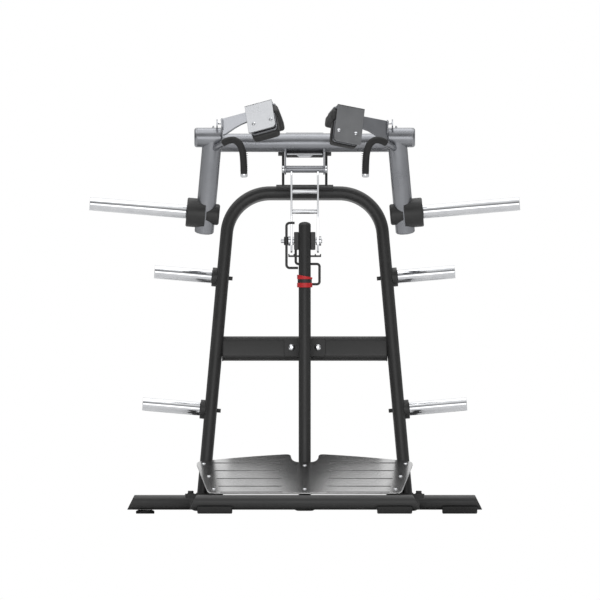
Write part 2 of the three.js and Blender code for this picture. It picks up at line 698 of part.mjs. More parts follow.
function leverHub() {
  const outer = PIVOT.half + LINK.plate;
  const plates = [sidePlate(linkPlateOutline(), PIVOT.half, outer, 6)];
  plates.push(mirrored(plates[0]));
  const bearing = rod([-outer, PIVOT.y, PIVOT.z], [outer, PIVOT.y, PIVOT.z], PIVOT.tube);
  const lock = rod([-outer, LOCK.y, LOCK.z], [outer, LOCK.y, LOCK.z], LOCK.radius, 12);
  const bore = rod([-150, PIVOT.y, PIVOT.z], [150, PIVOT.y, PIVOT.z], PIVOT.axle + RUN);
  const beam = rod([-150, YOKE.y, YOKE.z], [150, YOKE.y, YOKE.z], YOKE.radius + FACET);
  return cut(join(...plates, bearing, lock), bore, beam);
}

function yokePath(endY) {
  const { sideX, y, z, bend } = YOKE;
  return bentPath([[-sideX, endY, z], [-sideX, y, z], [sideX, y, z], [sideX, endY, z]], bend);
}

function yokeBeam() {
  const end = SWIVEL.y + 12;
  const outer = tube(ring(YOKE.radius), yokePath(end));
  const inner = tube(ring(YOKE.radius - YOKE.wall, 8), yokePath(end - 10));
  return cut(outer, inner, ...[1, -1].map(housingEnvelope));
}

function housingEnvelope(side) {
  const from = [side * 300, SWIVEL.y, SWIVEL.z];
  return rod(from, [side * 430, SWIVEL.y, SWIVEL.z], SWIVEL.radius + FACET);
}

function armPoint(z, side = 1) {
  const drop = SWIVEL.z - z;
  return [side * (WEIGHT_ARM.topX + drop * WEIGHT_ARM.slopeX), SWIVEL.y + drop * WEIGHT_ARM.slopeY, z];
}

function armRod(grow, top, bottom) {
  return rod(armPoint(top), armPoint(bottom), WEIGHT_ARM.radius + grow);
}

function weightArm() {
  const shell = cut(armRod(0, SWIVEL.z - 5, WEIGHT_ARM.bottom), armRod(-WEIGHT_ARM.wall, SWIVEL.z, 1000));
  const yoke = tube(ring(YOKE.radius + GAP), yokePath(SWIVEL.y - 60));
  return cut(shell, housingEnvelope(1), yoke);
}

function weightArmCap() {
  const { radius, wall, bottom } = WEIGHT_ARM;
  const axis = new THREE.Vector3(...armPoint(bottom - 1)).sub(new THREE.Vector3(...armPoint(bottom))).normalize();
  const start = new THREE.Vector3(...armPoint(bottom));
  const stem = radius - wall - FACET;
  const profile = [[-25, 0], [-25, stem], [GAP, stem], [GAP, radius], [3, radius], [6, radius - 4], [6, 0]];
  const turn = new THREE.Quaternion().setFromUnitVectors(new THREE.Vector3(1, 0, 0), axis);
  return turned(profile).applyQuaternion(turn).translate(start.x, start.y, start.z);
}

// X = 0 at the arm's axis, +X outward along the horn.
function alongHorn(geometry) {
  const centre = armPoint(WEIGHT_HORN.z);
  return geometry.rotateY(-WEIGHT_HORN.tilt).translate(...centre);
}

function weightHorn() {
  const { radius, tip, wall } = WEIGHT_HORN;
  const start = 20;
  const blind = [[start, radius - wall], [start, radius], [tip - 2, radius], [tip, radius - 2], [tip, 0]];
  const profile = [...blind, [tip - wall, 0], [tip - wall, radius - wall], [start, radius - wall]];
  return cut(alongHorn(turned(profile)), armRod(GAP, SWIVEL.z, 1000));
}

function outerCollar() {
  const { radius, reach } = OUTER_COLLAR;
  const profile = [[4, 0], [4, radius], [reach - 5, radius], [reach, radius - 5], [reach, 0]];
  const bore = alongHorn(turned([[0, 0], [0, WEIGHT_HORN.radius + GAP], [90, WEIGHT_HORN.radius + GAP], [90, 0]]));
  return cut(alongHorn(turned(profile, 18)), bore, armRod(GAP, SWIVEL.z, 1000));
}

function innerCollar() {
  const { radius, reach } = INNER_COLLAR;
  const profile = [[-reach, 0], [-reach, radius - 8], [-reach + 8, radius], [-4, radius], [-4, 0]];
  return cut(alongHorn(turned(profile)), armRod(GAP, SWIVEL.z, 1000));
}

function swivelHousing() {
  const { inner, outer, radius, bore, y, z } = SWIVEL;
  const profile = [[inner, bore], [inner, radius], [outer, radius], [outer, bore], [inner, bore]];
  return join(turned(profile), indexPlate()).translate(0, y, z);
}

function swivelCap() {
  const { outer, radius, capThick, y, z } = SWIVEL;
  const rim = outer + GAP;
  const dome = [[rim + 3, radius], [rim + 0.7 * capThick, radius * 0.8], [rim + capThick, radius * 0.45]];
  return turned([[rim, 0], [rim, radius], ...dome, [rim + capThick, 0]]).translate(0, y, z);
}

function indexPlate() {
  const { x, thick, inner, outer, span, hole, pitch } = INDEX;
  const shape = new THREE.Shape();
  shape.absarc(0, 0, outer, Math.PI / 2 - span, Math.PI / 2 + span, false);
  shape.absarc(0, 0, inner, Math.PI / 2 + span, Math.PI / 2 - span, true);
  const plate = sidePlate(shape, x - thick / 2, x + thick / 2, 8);
  const holes = [-2, -1, 0, 1, 2].map((i) => {
    const y = PIN.circle * Math.sin(i * pitch);
    const z = PIN.circle * Math.cos(i * pitch);
    return rod([x - 10, y, z], [x + 10, y, z], hole, 8);
  });
  return cut(plate, ...holes);
}

function handleTube() {
  const points = HANDLE_ROUTE.map(([x, y, z]) => new THREE.Vector3(x, SWIVEL.y + y, SWIVEL.z + z));
  const grip = swept(ring(HANDLE.radius, 10), new THREE.CatmullRomCurve3(points), HANDLE.steps);
  return cut(grip, armRod(GAP, SWIVEL.z, 1000), housingEnvelope(1));
}

function addLever() {
  add("lever_hub", leverHub(), GREY_PAINT);
  add("pivot_axle", pivotAxle(), CHROME);
  add("yoke_beam", yokeBeam(), GREY_PAINT);
  addPair("swivel_housing", swivelHousing(), GREY_PAINT);
  addPair("swivel_cap", swivelCap(), GREY_PAINT);
  addPair("weight_arm", weightArm(), GREY_PAINT);
  addPair("weight_arm_cap", weightArmCap(), GREY_PAINT);
  addPair("weight_horn", weightHorn(), CHROME);
  addPair("outer_collar", outerCollar(), RUBBER);
  addPair("inner_collar", innerCollar(), RUBBER);
  addPair("handle", handleTube(), RUBBER);
}

// ---------------------------------------------------------------- shoulder pads

// From the pad plate's own frame (outward, away, up) to the swivel axis frame.
function fromPlateFrame(geometry) {
  geometry.rotateY(PAD_ROLL).rotateZ(PAD_YAW);
  return geometry.translate(PAD_CENTRE.x, PAD_CENTRE.y, PAD_CENTRE.z);
}

function padPlate() {
  const { wide, tall, thick, topDeep, corner } = PAD_PLATE;
  const shape = new THREE.Shape();
  shape.moveTo(-wide / 2, tall / 2);
  shape.lineTo(-wide / 2, -tall / 2 + corner);
  shape.quadraticCurveTo(-wide / 2, -tall / 2, -wide / 2 + corner, -tall / 2);
  shape.lineTo(wide / 2 - 4, -tall / 2);
  shape.lineTo(wide / 2, -tall / 2 + 4);
  shape.lineTo(wide / 2, tall / 2);
  const front = barAlongY(shape, 0, thick, 0, 0);
  const top = block(-wide / 2, wide / 2, 0, topDeep, tall / 2 - thick, tall / 2);
  return fromPlateFrame(join(front, top));
}

function topPad() {
  const { inner, outer, near, far, thick } = TOP_PAD;
  const top = PAD_PLATE.tall / 2 - PAD_PLATE.thick - GAP;
  const pad = extruded(roundedRect(outer - inner, far - near, 14), thick);
  return fromPlateFrame(pad.translate((inner + outer) / 2, (near + far) / 2, top - thick));
}

function backPad() {
  const { inner, outer, near, far, bottom, top } = BACK_PAD;
  const pad = barAlongY(roundedRect(outer - inner, top - bottom, 14), near, far, 0, 0);
  return fromPlateFrame(pad.translate((inner + outer) / 2, 0, (top + bottom) / 2));
}

function padBracket() {
  const { thick, tall, v, inner, outer } = BRACKET;
  const { hub } = SIDE_PLATE;
  const near = PAD_PLATE.thick + GAP;
  const arm = fromPlateFrame(block(inner, outer, near, near + thick, v - tall / 2, v + tall / 2));
  const trimmed = keep(arm, block(0, SIDE_PLATE.outer, -300, 300, -300, 300));
  const shape = new THREE.Shape();
  shape.absarc(0, 0, hub, -Math.PI / 2, Math.PI / 3, false);
  shape.lineTo(-PIN.circle * Math.sin(PIN.angle) + 8, PIN.circle * Math.cos(PIN.angle) + 12);
  shape.lineTo(-48, 54);
  shape.lineTo(-60, 44);
  shape.lineTo(-62, -4);
  shape.lineTo(-hub * 0.7, -hub * 0.72);
  const side = sidePlate(shape, SIDE_PLATE.inner, SIDE_PLATE.outer, 8);
  const shaft = rod([SIDE_PLATE.inner + 1, 0, 0], [SWIVEL.outer - 6, 0, 0], SWIVEL.bore - RUN, 16);
  const pinY = -PIN.circle * Math.sin(PIN.angle);
  const pinZ = PIN.circle * Math.cos(PIN.angle);
  const boss = rod([SIDE_PLATE.inner - 16, pinY, pinZ], [SIDE_PLATE.inner + 1, pinY, pinZ], PIN.boss, 10);
  const bore = rod([280, pinY, pinZ], [330, pinY, pinZ], PIN.radius + RUN, 10);
  return cut(join(trimmed, side, shaft, boss), bore);
}

function indexPin() {
  const { radius, circle, angle, tip, knob, knobInner } = PIN;
  const grip = SIDE_PLATE.inner - 16 - GAP;
  const profile = [[knobInner, 0], [knobInner, knob - 2], [knobInner + 2, knob], [grip - 4, knob], [grip, radius + 2],
    [grip, radius], [tip - 2, radius], [tip, radius - 1.5], [tip, 0]];
  return turned(profile, 10).translate(0, -circle * Math.sin(angle), circle * Math.cos(angle));
}

function addPadSide(side, tip) {
  const pieces = [["pad_bracket", padBracket(), GREY_PAINT], ["pad_plate", padPlate(), PLATE_GREY],
    ["top_pad", topPad(), LEATHER], ["back_pad", backPad(), LEATHER], ["index_pin", indexPin(), CHROME]];
  const swivel = new THREE.Group();
  swivel.position.set(0, SWIVEL.y, SWIVEL.z);
  swivel.rotation.x = tip;
  machine.add(swivel);
  for (const [name, geometry, material] of pieces) {
    add(`${side}_${name}`, side === "left" ? mirrored(geometry) : geometry, material, swivel);
  }
}

addBase();
addFootplate();
addArch();
addStorage();
addPost();
addProp();
add("pivot_clevis", pivotClevis(), BLACK_PAINT);
addLever();
addPadSide("right", PAD_TIP.right);
addPadSide("left", PAD_TIP.left);

export default machine;
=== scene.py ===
import math

import bmesh
import bpy
from mathutils import Matrix, Vector


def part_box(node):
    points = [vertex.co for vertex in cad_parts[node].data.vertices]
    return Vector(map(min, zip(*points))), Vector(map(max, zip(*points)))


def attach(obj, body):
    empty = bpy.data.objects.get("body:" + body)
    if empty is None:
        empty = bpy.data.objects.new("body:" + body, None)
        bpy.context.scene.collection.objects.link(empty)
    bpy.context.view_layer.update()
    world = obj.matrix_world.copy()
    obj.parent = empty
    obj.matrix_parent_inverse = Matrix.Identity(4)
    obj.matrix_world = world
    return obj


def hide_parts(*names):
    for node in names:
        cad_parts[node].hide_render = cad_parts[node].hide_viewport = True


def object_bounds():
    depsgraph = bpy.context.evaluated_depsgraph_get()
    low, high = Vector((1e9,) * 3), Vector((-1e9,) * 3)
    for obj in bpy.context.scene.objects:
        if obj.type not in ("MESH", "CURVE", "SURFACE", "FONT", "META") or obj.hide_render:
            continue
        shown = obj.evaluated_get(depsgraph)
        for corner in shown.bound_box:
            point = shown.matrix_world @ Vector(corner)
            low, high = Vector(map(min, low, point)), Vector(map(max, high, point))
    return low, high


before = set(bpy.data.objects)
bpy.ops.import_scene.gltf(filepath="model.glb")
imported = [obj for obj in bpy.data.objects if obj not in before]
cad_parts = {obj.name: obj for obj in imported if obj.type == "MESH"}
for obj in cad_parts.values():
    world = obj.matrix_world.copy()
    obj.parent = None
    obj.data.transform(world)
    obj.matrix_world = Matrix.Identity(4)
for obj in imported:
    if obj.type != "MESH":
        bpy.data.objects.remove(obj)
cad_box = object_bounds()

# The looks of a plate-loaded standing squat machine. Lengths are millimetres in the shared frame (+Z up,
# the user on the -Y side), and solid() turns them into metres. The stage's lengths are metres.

MM = 0.001
DEG = math.pi / 180
SIDES = {"right": 1, "left": -1}
RIGHT, BACK, UP, FRONT = (1, 0, 0), (0, 1, 0), (0, 0, 1), (0, -1, 0)

# ---- driving dimensions ----

BEAM_DEEP = 100
BEAM_TALL = 56
BEAM_LOW = 15
BEAM_BEVEL = 28
RAIL_TOP = 57.8
TUBE_DEEP = 94
TUBE_WIDE = 47

LEAN = 8 * DEG
CROSSBAR_Z = 624.3
CROSSBAR_TALL = 93.4
CROSSBAR_HALF = 309
LEAN_Y = -CROSSBAR_Z * math.tan(LEAN)
LEG_X = 365
LEG_Z = 278.6
ARCH_SLOPE = 0.0896
ARCH_BEND = 165
ARCH_TOP = 1211
FLANGE_X = 380.5
FLANGE_THICK = 18
STORAGE_Z = {"upper": 895.5, "lower": 395.8}
STORAGE_HORN = 218
STORAGE_FLANGE = 27

POST_Y = -80
POST_WIDE = 46
POST_TOP = 1091.5
POST_DOME = 12
WIRE = 4.7

PROP_Z = 1031
PROP_HALF = 12.5
PROP_BAR = (46.5, 53.5)
PROP_SHAFT = 8
SEAT_GAP = 2.5
PRONG_WIDE = 7
PRONG_TALL = 8.5
LOCK = Vector((0, -71, 1302))
LOCK_RADIUS = 13.25

PIVOT = Vector((0, 160, 1395))
PIVOT_BOSS = 43
PIVOT_SHAFT = 15
LINK_INNER = 70.3
LINK_THICK = 5.7
LINK_NOSE = 20
LINK_CROWN = 34
LINK_TAIL = 44
CHEEK_INNER = 76.7
CHEEK_OUTER = 86.4

YOKE_RADIUS = 35
YOKE_BEND = 85
YOKE_Y = -30
YOKE_Z = 1402
YOKE_X = 354
SWIVEL_Y = -280
SWIVEL_Z = 1422
SWIVEL_RADIUS = 37.25
SWIVEL_BORE = 20.5
SWIVEL_INNER = 316.4
SWIVEL_OUTER = 407
INDEX_X = (329, 334)
INDEX_RIM = 69
INDEX_RADIUS = 55
INDEX_PITCH = 12.85 * DEG
PIN_RADIUS = 4
PIN_ANGLE = 31.75 * DEG

ARM_RADIUS = 36.3
ARM_TOP_X = 348.3
ARM_SLOPE_X = 0.0897
ARM_SLOPE_Y = math.tan(14 * DEG)
ARM_BOTTOM = 1068
SLEEVE_RADIUS = 25.2
HORN_Z = 1134.4
HORN_TILT = 4.9 * DEG
HORN_TIP = 440
HUB_GAP = 2.5
GRIP_RADIUS = 13.2
STUB_RADIUS = 11.5

PLATE_SLOPE = 18 * DEG
PLATE_NEAR_Y = -494
PLATE_NEAR_Z = 78
PLATE_THICK = 5

PAD_YAW = 15 * DEG
PAD_ROLL = 6.3 * DEG
PAD_TIP = {"right": -18.9 * DEG, "left": -44.6 * DEG}
PAD_CENTRE = Vector((169, -96, 19))
PAD_WIDE = 106
PAD_TALL = 147
PAD_PLATE_THICK = 5
BOARD_THICK = 8
CUSHION_CORNER = 13
CUSHION_CROWN = 1.5

# ---- materials ----


def new_material(name):
    material = bpy.data.materials.new(name)
    material.use_nodes = True
    tree = material.node_tree
    return material, tree, tree.nodes["Principled BSDF"]


def add_node(tree, kind, inputs, **settings):
    """A shader node whose inputs are given plain values or other nodes' outputs."""
    node = tree.nodes.new(f"ShaderNode{kind}")
    for name, value in settings.items():
        setattr(node, name, value)
    for name, value in inputs.items():
        if isinstance(value, bpy.types.NodeSocket):
            tree.links.new(value, node.inputs[name])
        else:
            node.inputs[name].default_value = value
    return node


def object_coordinates(tree, scale=(1, 1, 1)):
    source = add_node(tree, "TexCoord", {}).outputs["Object"]
    return add_node(tree, "Mapping", {"Vector": source, "Scale": scale}).outputs["Vector"]


def noise_texture(tree, vector, scale, detail=4.0):
    inputs = {"Vector": vector, "Scale": scale, "Detail": detail, "Roughness": 0.55}
    return add_node(tree, "TexNoise", inputs).outputs["Fac"]


def ramp(tree, value, stops):
    node = tree.nodes.new("ShaderNodeValToRGB")
    elements = node.color_ramp.elements
    elements[0].position, elements[0].color = stops[0][0], (*stops[0][1], 1)
    elements[1].position, elements[1].color = stops[-1][0], (*stops[-1][1], 1)
    for position, colour in stops[1:-1]:
        elements.new(position).color = (*colour, 1)
    tree.links.new(value, node.inputs["Fac"])
    return node.outputs["Color"]


def add_bump(tree, shader, height, strength, distance):
    bump = add_node(tree, "Bump", {"Strength": strength, "Distance": distance, "Height": height})
    tree.links.new(bump.outputs["Normal"], shader.inputs["Normal"])


def grey(level):
    return (level, level, level)


def vary(tree, shader, socket, value, stops):
    """Lets a texture drive one of the shader's sockets through a ramp."""
    tree.links.new(ramp(tree, value, stops), shader.inputs[socket])


def powder_coat(name, dark, light, metallic, roughness, grain=900.0, strength=0.25):
    """Sprayed powder coat: fine orange peel, slow tone drift and a little gloss variation."""
    material, tree, shader = new_material(name)
    vector = object_coordinates(tree)
    drift = noise_texture(tree, vector, 9.0)
    fleck = noise_texture(tree, vector, grain * 2.2, 2.0)
    scaled = add_node(tree, "Math", {0: drift, 1: 0.45}, operation="MULTIPLY")
    mixed = add_node(tree, "Math", {0: fleck, 1: 0.55, 2: scaled.outputs[0]}, operation="MULTIPLY_ADD")
    vary(tree, shader, "Base Color", mixed.outputs[0], [(0.3, dark), (0.7, light)])
    vary(tree, shader, "Roughness", drift, [(0.3, grey(roughness - 0.05)), (0.7, grey(roughness + 0.06))])
    shader.inputs["Metallic"].default_value = metallic
    add_bump(tree, shader, noise_texture(tree, vector, grain, 3.0), strength, 0.0002)
    return material


def chrome_material():
    """Polished chrome plate with faint handling haze."""
    material, tree, shader = new_material("chrome")
    vector = object_coordinates(tree)
    shader.inputs["Metallic"].default_value = 1.0
    haze = noise_texture(tree, vector, 22.0, 6.0)
    vary(tree, shader, "Roughness", haze, [(0.35, grey(0.05)), (0.75, grey(0.13))])
    vary(tree, shader, "Base Color", haze, [(0.3, (0.62, 0.63, 0.65)), (0.7, (0.70, 0.71, 0.725))])
    return material


def footplate_material(name, dark, light):
    """Bright rolled sheet: long fine lines across the plate and a soft gloss."""
    material, tree, shader = new_material(name)
    fine = object_coordinates(tree, (3, 260, 260))
    lines = noise_texture(tree, fine, 6.0, 3.0)
    slow = noise_texture(tree, object_coordinates(tree), 7.0, 3.0)
    shader.inputs["Metallic"].default_value = 1.0
    vary(tree, shader, "Base Color", slow, [(0.3, grey(dark)), (0.7, grey(light))])
    vary(tree, shader, "Roughness", lines, [(0.3, grey(0.17)), (0.7, grey(0.25))])
    add_bump(tree, shader, lines, 0.06, 0.0002)
    return material


def upholstery_material():
    """Black grained synthetic leather: a net of fine creases over a slow tone drift."""
    material, tree, shader = new_material("upholstery")
    vector = object_coordinates(tree)
    cells = add_node(tree, "TexVoronoi", {"Vector": vector, "Scale": 420.0}, feature="DISTANCE_TO_EDGE")
    crease = ramp(tree, cells.outputs["Distance"], [(0.0, grey(0.0)), (0.18, grey(1.0))])
    drift = noise_texture(tree, vector, 30.0)
    vary(tree, shader, "Base Color", drift, [(0.3, grey(0.016)), (0.7, grey(0.030))])
    vary(tree, shader, "Roughness", drift, [(0.3, grey(0.42)), (0.7, grey(0.54))])
    add_bump(tree, shader, crease, 0.35, 0.0003)
    return material


def moulded_material(name, dark, light, roughness, grain=300.0, strength=0.15):
    """Moulded rubber or plastic: matt, with a fine cast texture and a slight tone drift."""
    material, tree, shader = new_material(name)
    vector = object_coordinates(tree)
    drift = noise_texture(tree, vector, 25.0)
    vary(tree, shader, "Base Color", drift, [(0.3, dark), (0.7, light)])
    vary(tree, shader, "Roughness", drift, [(0.3, grey(roughness - 0.05)), (0.7, grey(roughness + 0.05))])
    add_bump(tree, shader, noise_texture(tree, vector, grain, 3.0), strength, 0.0003)
    return material


MATERIALS = {
    "black_paint": powder_coat("black_paint", grey(0.017), grey(0.028), 0.0, 0.42),
    "grey_paint": powder_coat("grey_paint", (0.20, 0.206, 0.222), (0.33, 0.338, 0.358), 0.85, 0.30, 1100.0),
    "pad_plate_grey": powder_coat("pad_plate_grey", (0.24, 0.246, 0.256), (0.40, 0.406, 0.418), 0.92, 0.30,
                                  700.0, 0.4),
    "chrome": chrome_material(),
    "footplate_metal": footplate_material("footplate_metal", 0.40, 0.475),
    # The ridges are the plate's own sheet, given a darker base colour: painted shade along the ribs, standing
    # in for their shade and dark reflections.
    "ridge_painted_shade": footplate_material("ridge_painted_shade", 0.10, 0.15),
    "rubber": moulded_material("rubber", grey(0.012), grey(0.020), 0.72),
    "upholstery": upholstery_material(),
    "red_plastic": moulded_material("red_plastic", (0.50, 0.010, 0.014), (0.62, 0.016, 0.020), 0.42),
    "black_plastic": moulded_material("black_plastic", grey(0.014), grey(0.022), 0.46),
}

# ---- mesh helpers ----
# A shape is a pair (vertices, faces); combine() joins shapes into one piece's mesh.


def combine(*shapes):
    vertices, faces = [], []
    for points, polygons in shapes:
        shift = len(vertices)
        vertices += [Vector(p) for p in points]
        faces += [[i + shift for i in polygon] for polygon in polygons]
    return vertices, faces


def moved(shape, matrix):
    return [matrix @ Vector(p) for p in shape[0]], shape[1]


def linked(name, data):
    obj = bpy.data.objects.new(name, data)
    bpy.context.scene.collection.objects.link(obj)
    return obj


def solid(name, shape, sign, merge):
    """A mesh object in metres, mirrored where sign is -1; points closer than merge become one."""
    mesh = bpy.data.meshes.new(name)
    mesh.from_pydata([Vector((p[0] * sign, p[1], p[2])) * MM for p in shape[0]], [], shape[1])
    edit = bmesh.new()
    edit.from_mesh(mesh)
    if merge:
        bmesh.ops.remove_doubles(edit, verts=edit.verts, dist=merge)
    bmesh.ops.recalc_face_normals(edit, faces=edit.faces)
    edit.to_mesh(mesh)
    edit.free()
    return linked(name, mesh)


def make(name, shape, body="frame", slot="black_paint", nodes=(), sign=1, bevel=0.0, segments=2, angle=35):
    """One piece from a shape: bevelled or given sharp edges, painted and riding on its body."""
    obj = solid(name, shape, sign, 2e-6)
    mesh = obj.data
    mesh.materials.append(MATERIALS[slot])
    mesh.shade_smooth()
    if bevel:
        rounding = obj.modifiers.new("rounding", "BEVEL")
        rounding.width = bevel * MM
        rounding.segments = segments
        rounding.limit_method = "ANGLE"
        rounding.angle_limit = angle * DEG
        rounding.harden_normals = True
    else:
        mesh.set_sharp_from_angle(angle=angle * DEG)
    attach(obj, body)
    if nodes:
        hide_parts(*nodes)
    return obj


def make_side(side, name, shape, body="frame", slot="black_paint", nodes=(), **looks):
    """A piece of one side, from a shape drawn for the right side; its names get the side's prefix."""
    nodes = [f"{side}_{node}" for node in nodes]
    return make(f"{side}_{name}", shape, body, slot, nodes, SIDES[side], **looks)


def cut(obj, side, *shapes):
    """Takes the shapes, drawn for the right side, out of a side's piece."""
    for shape in shapes:
        tool = solid("tool", shape, SIDES[side], 0)
        difference = obj.modifiers.new("cut", "BOOLEAN")
        difference.operation = "DIFFERENCE"
        difference.solver = "EXACT"
        difference.object = tool
        bpy.context.view_layer.update()
        graph = bpy.context.evaluated_depsgraph_get()
        mesh = bpy.data.meshes.new_from_object(obj.evaluated_get(graph))
        obj.modifiers.remove(difference)
        obj.data = mesh
        bpy.data.objects.remove(tool)
    obj.data.set_sharp_from_angle(angle=35 * DEG)


def node_box(node):
    """A node's lowest and highest corners at rest, in millimetres."""
    return [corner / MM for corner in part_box(node)]


def arc(centre, radius, start, end, steps):
    """Points on an arc, angles in degrees."""
    angles = [(start + (end - start) * i / steps) * DEG for i in range(steps + 1)]
    return [(centre[0] + radius * math.cos(a), centre[1] + radius * math.sin(a)) for a in angles]


def ring(radius, sides=40):
    return arc((0, 0), radius, 0, 360 - 360 / sides, sides - 1)


def obround(wide, tall, steps=16):
    """A flat-sided section with two half-round ends along its longer side."""
    radius = min(wide, tall) / 2
    run = max(wide, tall) / 2 - radius
    if wide >= tall:
        return arc((run, 0), radius, -90, 90, steps) + arc((-run, 0), radius, 90, 270, steps)
    return arc((0, run), radius, 0, 180, steps) + arc((0, -run), radius, 180, 360, steps)


def rounded_rectangle(wide, tall, radius, steps=8):
    x, y = wide / 2 - radius, tall / 2 - radius
    corners = [((x, y), 0), ((-x, y), 90), ((-x, -y), 180), ((x, -y), 270)]
    return [point for centre, turn in corners for point in arc(centre, radius, turn, turn + 90, steps)]


def loft(rings, capped=True):
    """Quads between rings of equal length, with a face over each end."""
    count = len(rings[0])
    vertices = [point for points in rings for point in points]
    faces = []
    for row in range(len(rings) - 1):
        for i in range(count):
            j = (i + 1) % count
            low, high = row * count, (row + 1) * count
            faces.append([low + i, low + j, high + j, high + i])
    if capped:
        faces.append(list(range(count))[::-1])
        faces.append(list(range((len(rings) - 1) * count, len(rings) * count)))
    return vertices, faces


def sweep(section, path, across):
    """The section carried along a path; its first axis starts along 'across' and hardly twists."""
    points = [Vector(p) for p in path]
    first = Vector(across)
    rings = []
    for i, point in enumerate(points):
        into = point - points[i - 1] if i else points[1] - point
        out = points[i + 1] - point if i + 1 < len(points) else into
        along = (into.normalized() + out.normalized()).normalized()
        first = (first - first.dot(along) * along).normalized()
        second = along.cross(first)
        rings.append([point + first * u + second * v for u, v in section])
    return loft(rings)


def bent_path(points, radius, steps=14):
    """Straight runs joined by round bends of one radius."""
    corners = [Vector(p) for p in points]
    route = [corners[0]]
    for i in range(1, len(corners) - 1):
        into = (corners[i] - corners[i - 1]).normalized()
        out = (corners[i + 1] - corners[i]).normalized()
        turn = into.angle(out)
        start = corners[i] - into * radius * math.tan(turn / 2)
        inward = (out - into * into.dot(out)).normalized()
        for step in range(steps + 1):
            a = turn * step / steps
            route.append(start + into * radius * math.sin(a) + inward * radius * (1 - math.cos(a)))
    return route + [corners[-1]]


def smooth_path(points, steps=6):
    """A Catmull-Rom curve through the points."""
    knots = [Vector(p) for p in points]
    knots = [knots[0] * 2 - knots[1]] + knots + [knots[-1] * 2 - knots[-2]]
    route = []
    for i in range(1, len(knots) - 2):
        a, b, c, d = knots[i - 1:i + 3]
        for step in range(steps):
            t = step / steps
            route.append(((b * 2) + (c - a) * t + (a * 2 - b * 5 + c * 4 - d) * t * t
                          + (b * 3 - a - c * 3 + d) * t ** 3) / 2)
    return route + [knots[-2]]


def lathe(profile, start, direction, sides=56):
    """A body of revolution: profile points are (distance along the axis, radius)."""
    axis = Vector(direction).normalized()
    turn = Vector((0, 0, 1)).rotation_difference(axis).to_matrix()
    origin = Vector(start)
    vertices, rows = [], []
    for along, radius in profile:
        count = 1 if radius < 1e-6 else sides
        rows.append(range(len(vertices), len(vertices) + count))
        for i in range(count):
            a = 2 * math.pi * i / sides
            vertices.append(origin + turn @ Vector((radius * math.cos(a), radius * math.sin(a), along)))
    faces = []
    for low, high in zip(rows, rows[1:]):
        for i in range(sides):
            j = (i + 1) % sides
            corners = [low[i % len(low)], low[j % len(low)], high[j % len(high)], high[i % len(high)]]
            polygon = list(dict.fromkeys(corners))
            if len(polygon) > 2:
                faces.append(polygon)
    return vertices, faces


def closed_lathe(profile, start, direction, sides=56):
    """A ring-shaped body of revolution, whose profile closes on itself off the axis."""
    return lathe(list(profile) + [profile[0]], start, direction, sides)


def rounded_profile(length, radius, edge, start=0.0, steps=5):
    """A solid rod's profile with both rims rounded."""
    tail = [(start + edge - edge * math.cos(a), radius - edge + edge * math.sin(a))
            for a in (math.pi / 2 * i / steps for i in range(steps + 1))]
    nose = [(2 * start + length - x, r) for x, r in reversed(tail)]
    return [(start, 0)] + tail + nose + [(start + length, 0)]


def rod(length, radius, edge, place, direction=RIGHT, sides=40, start=0.0):
    """A solid rod with rounded rims, which begins 'start' along the direction from its place."""
    return lathe(rounded_profile(length, radius, edge, start), place, direction, sides)


def slab(outline, thick, matrix):
    """A flat outline in X and Y, given a thickness along Z and then placed."""
    low = [Vector((x, y, 0)) for x, y in outline]
    high = [Vector((x, y, thick)) for x, y in outline]
    return moved(loft([low, high]), matrix)


def side_slab(outline, x0, x1):
    """An outline drawn in (Y, Z), from x0 to x1."""
    return loft([[Vector((x, y, z)) for y, z in outline] for x in (x0, x1)])


def brick(x0, x1, y0, y1, z0, z1):
    return loft([[Vector(p) for p in ((x0, y0, z), (x1, y0, z), (x1, y1, z), (x0, y1, z))] for z in (z0, z1)])


def bead(path):
    """A weld bead: a tube whose thickness ripples."""
    radius, ripple, sides = 2.4, 0.18, 8
    route = smooth_path(path, 4)
    rings = []
    for i, point in enumerate(route):
        along = (route[min(i + 1, len(route) - 1)] - route[max(i - 1, 0)]).normalized()
        first = along.orthogonal().normalized()
        second = along.cross(first)
        size = radius * (1 + ripple * math.sin(i * 2.1))
        rings.append([point + (first * math.cos(a) + second * math.sin(a)) * size
                      for a in (2 * math.pi * k / sides for k in range(sides))])
    return loft(rings)


def hub_profile(start, end, radius, edge, steps=6):
    """A hub that is square at its start and rounded at its end."""
    nose = [(end - edge + edge * math.sin(a), radius - edge + edge * math.cos(a))
            for a in (math.pi / 2 * i / steps for i in range(steps + 1))]
    return [(start, 0), (start, radius)] + nose + [(end, 0)]


def hex_bolt(centre):
    """Washer and chamfered hexagon head on an upward face."""
    across_flats, head, washer, washer_thick = 19, 9, 13, 2.2
    base = rod(washer_thick, washer, 0.6, centre, UP)
    place = Matrix.Translation(Vector(centre) + Vector(UP) * washer_thick)
    corner = across_flats / math.sqrt(3)
    rings = []
    for height, scale in ((0, 1.0), (head * 0.8, 1.0), (head, 0.86)):
        rings.append([place @ Vector((corner * scale * math.cos(k * math.pi / 3),
                                      corner * scale * math.sin(k * math.pi / 3), height)) for k in range(6)])
    return combine(base, loft(rings))


def button_bolt(centre, direction, radius, rise):
    """A domed head with a round socket."""
    bore = radius * 0.42
    dome = [(rise * math.cos(a) if a else rise, radius * math.sin(a))
            for a in (math.pi / 2 * k / 8 for k in range(8, -1, -1))]
    dome = [(x, r) for x, r in dome if r > bore]
    inside = [(rise * 0.92, bore), (rise * 0.25, bore), (rise * 0.25, 0)]
    return lathe([(-1, 0), (-1, radius)] + dome + inside, centre, direction, 36)


# ---- base ----


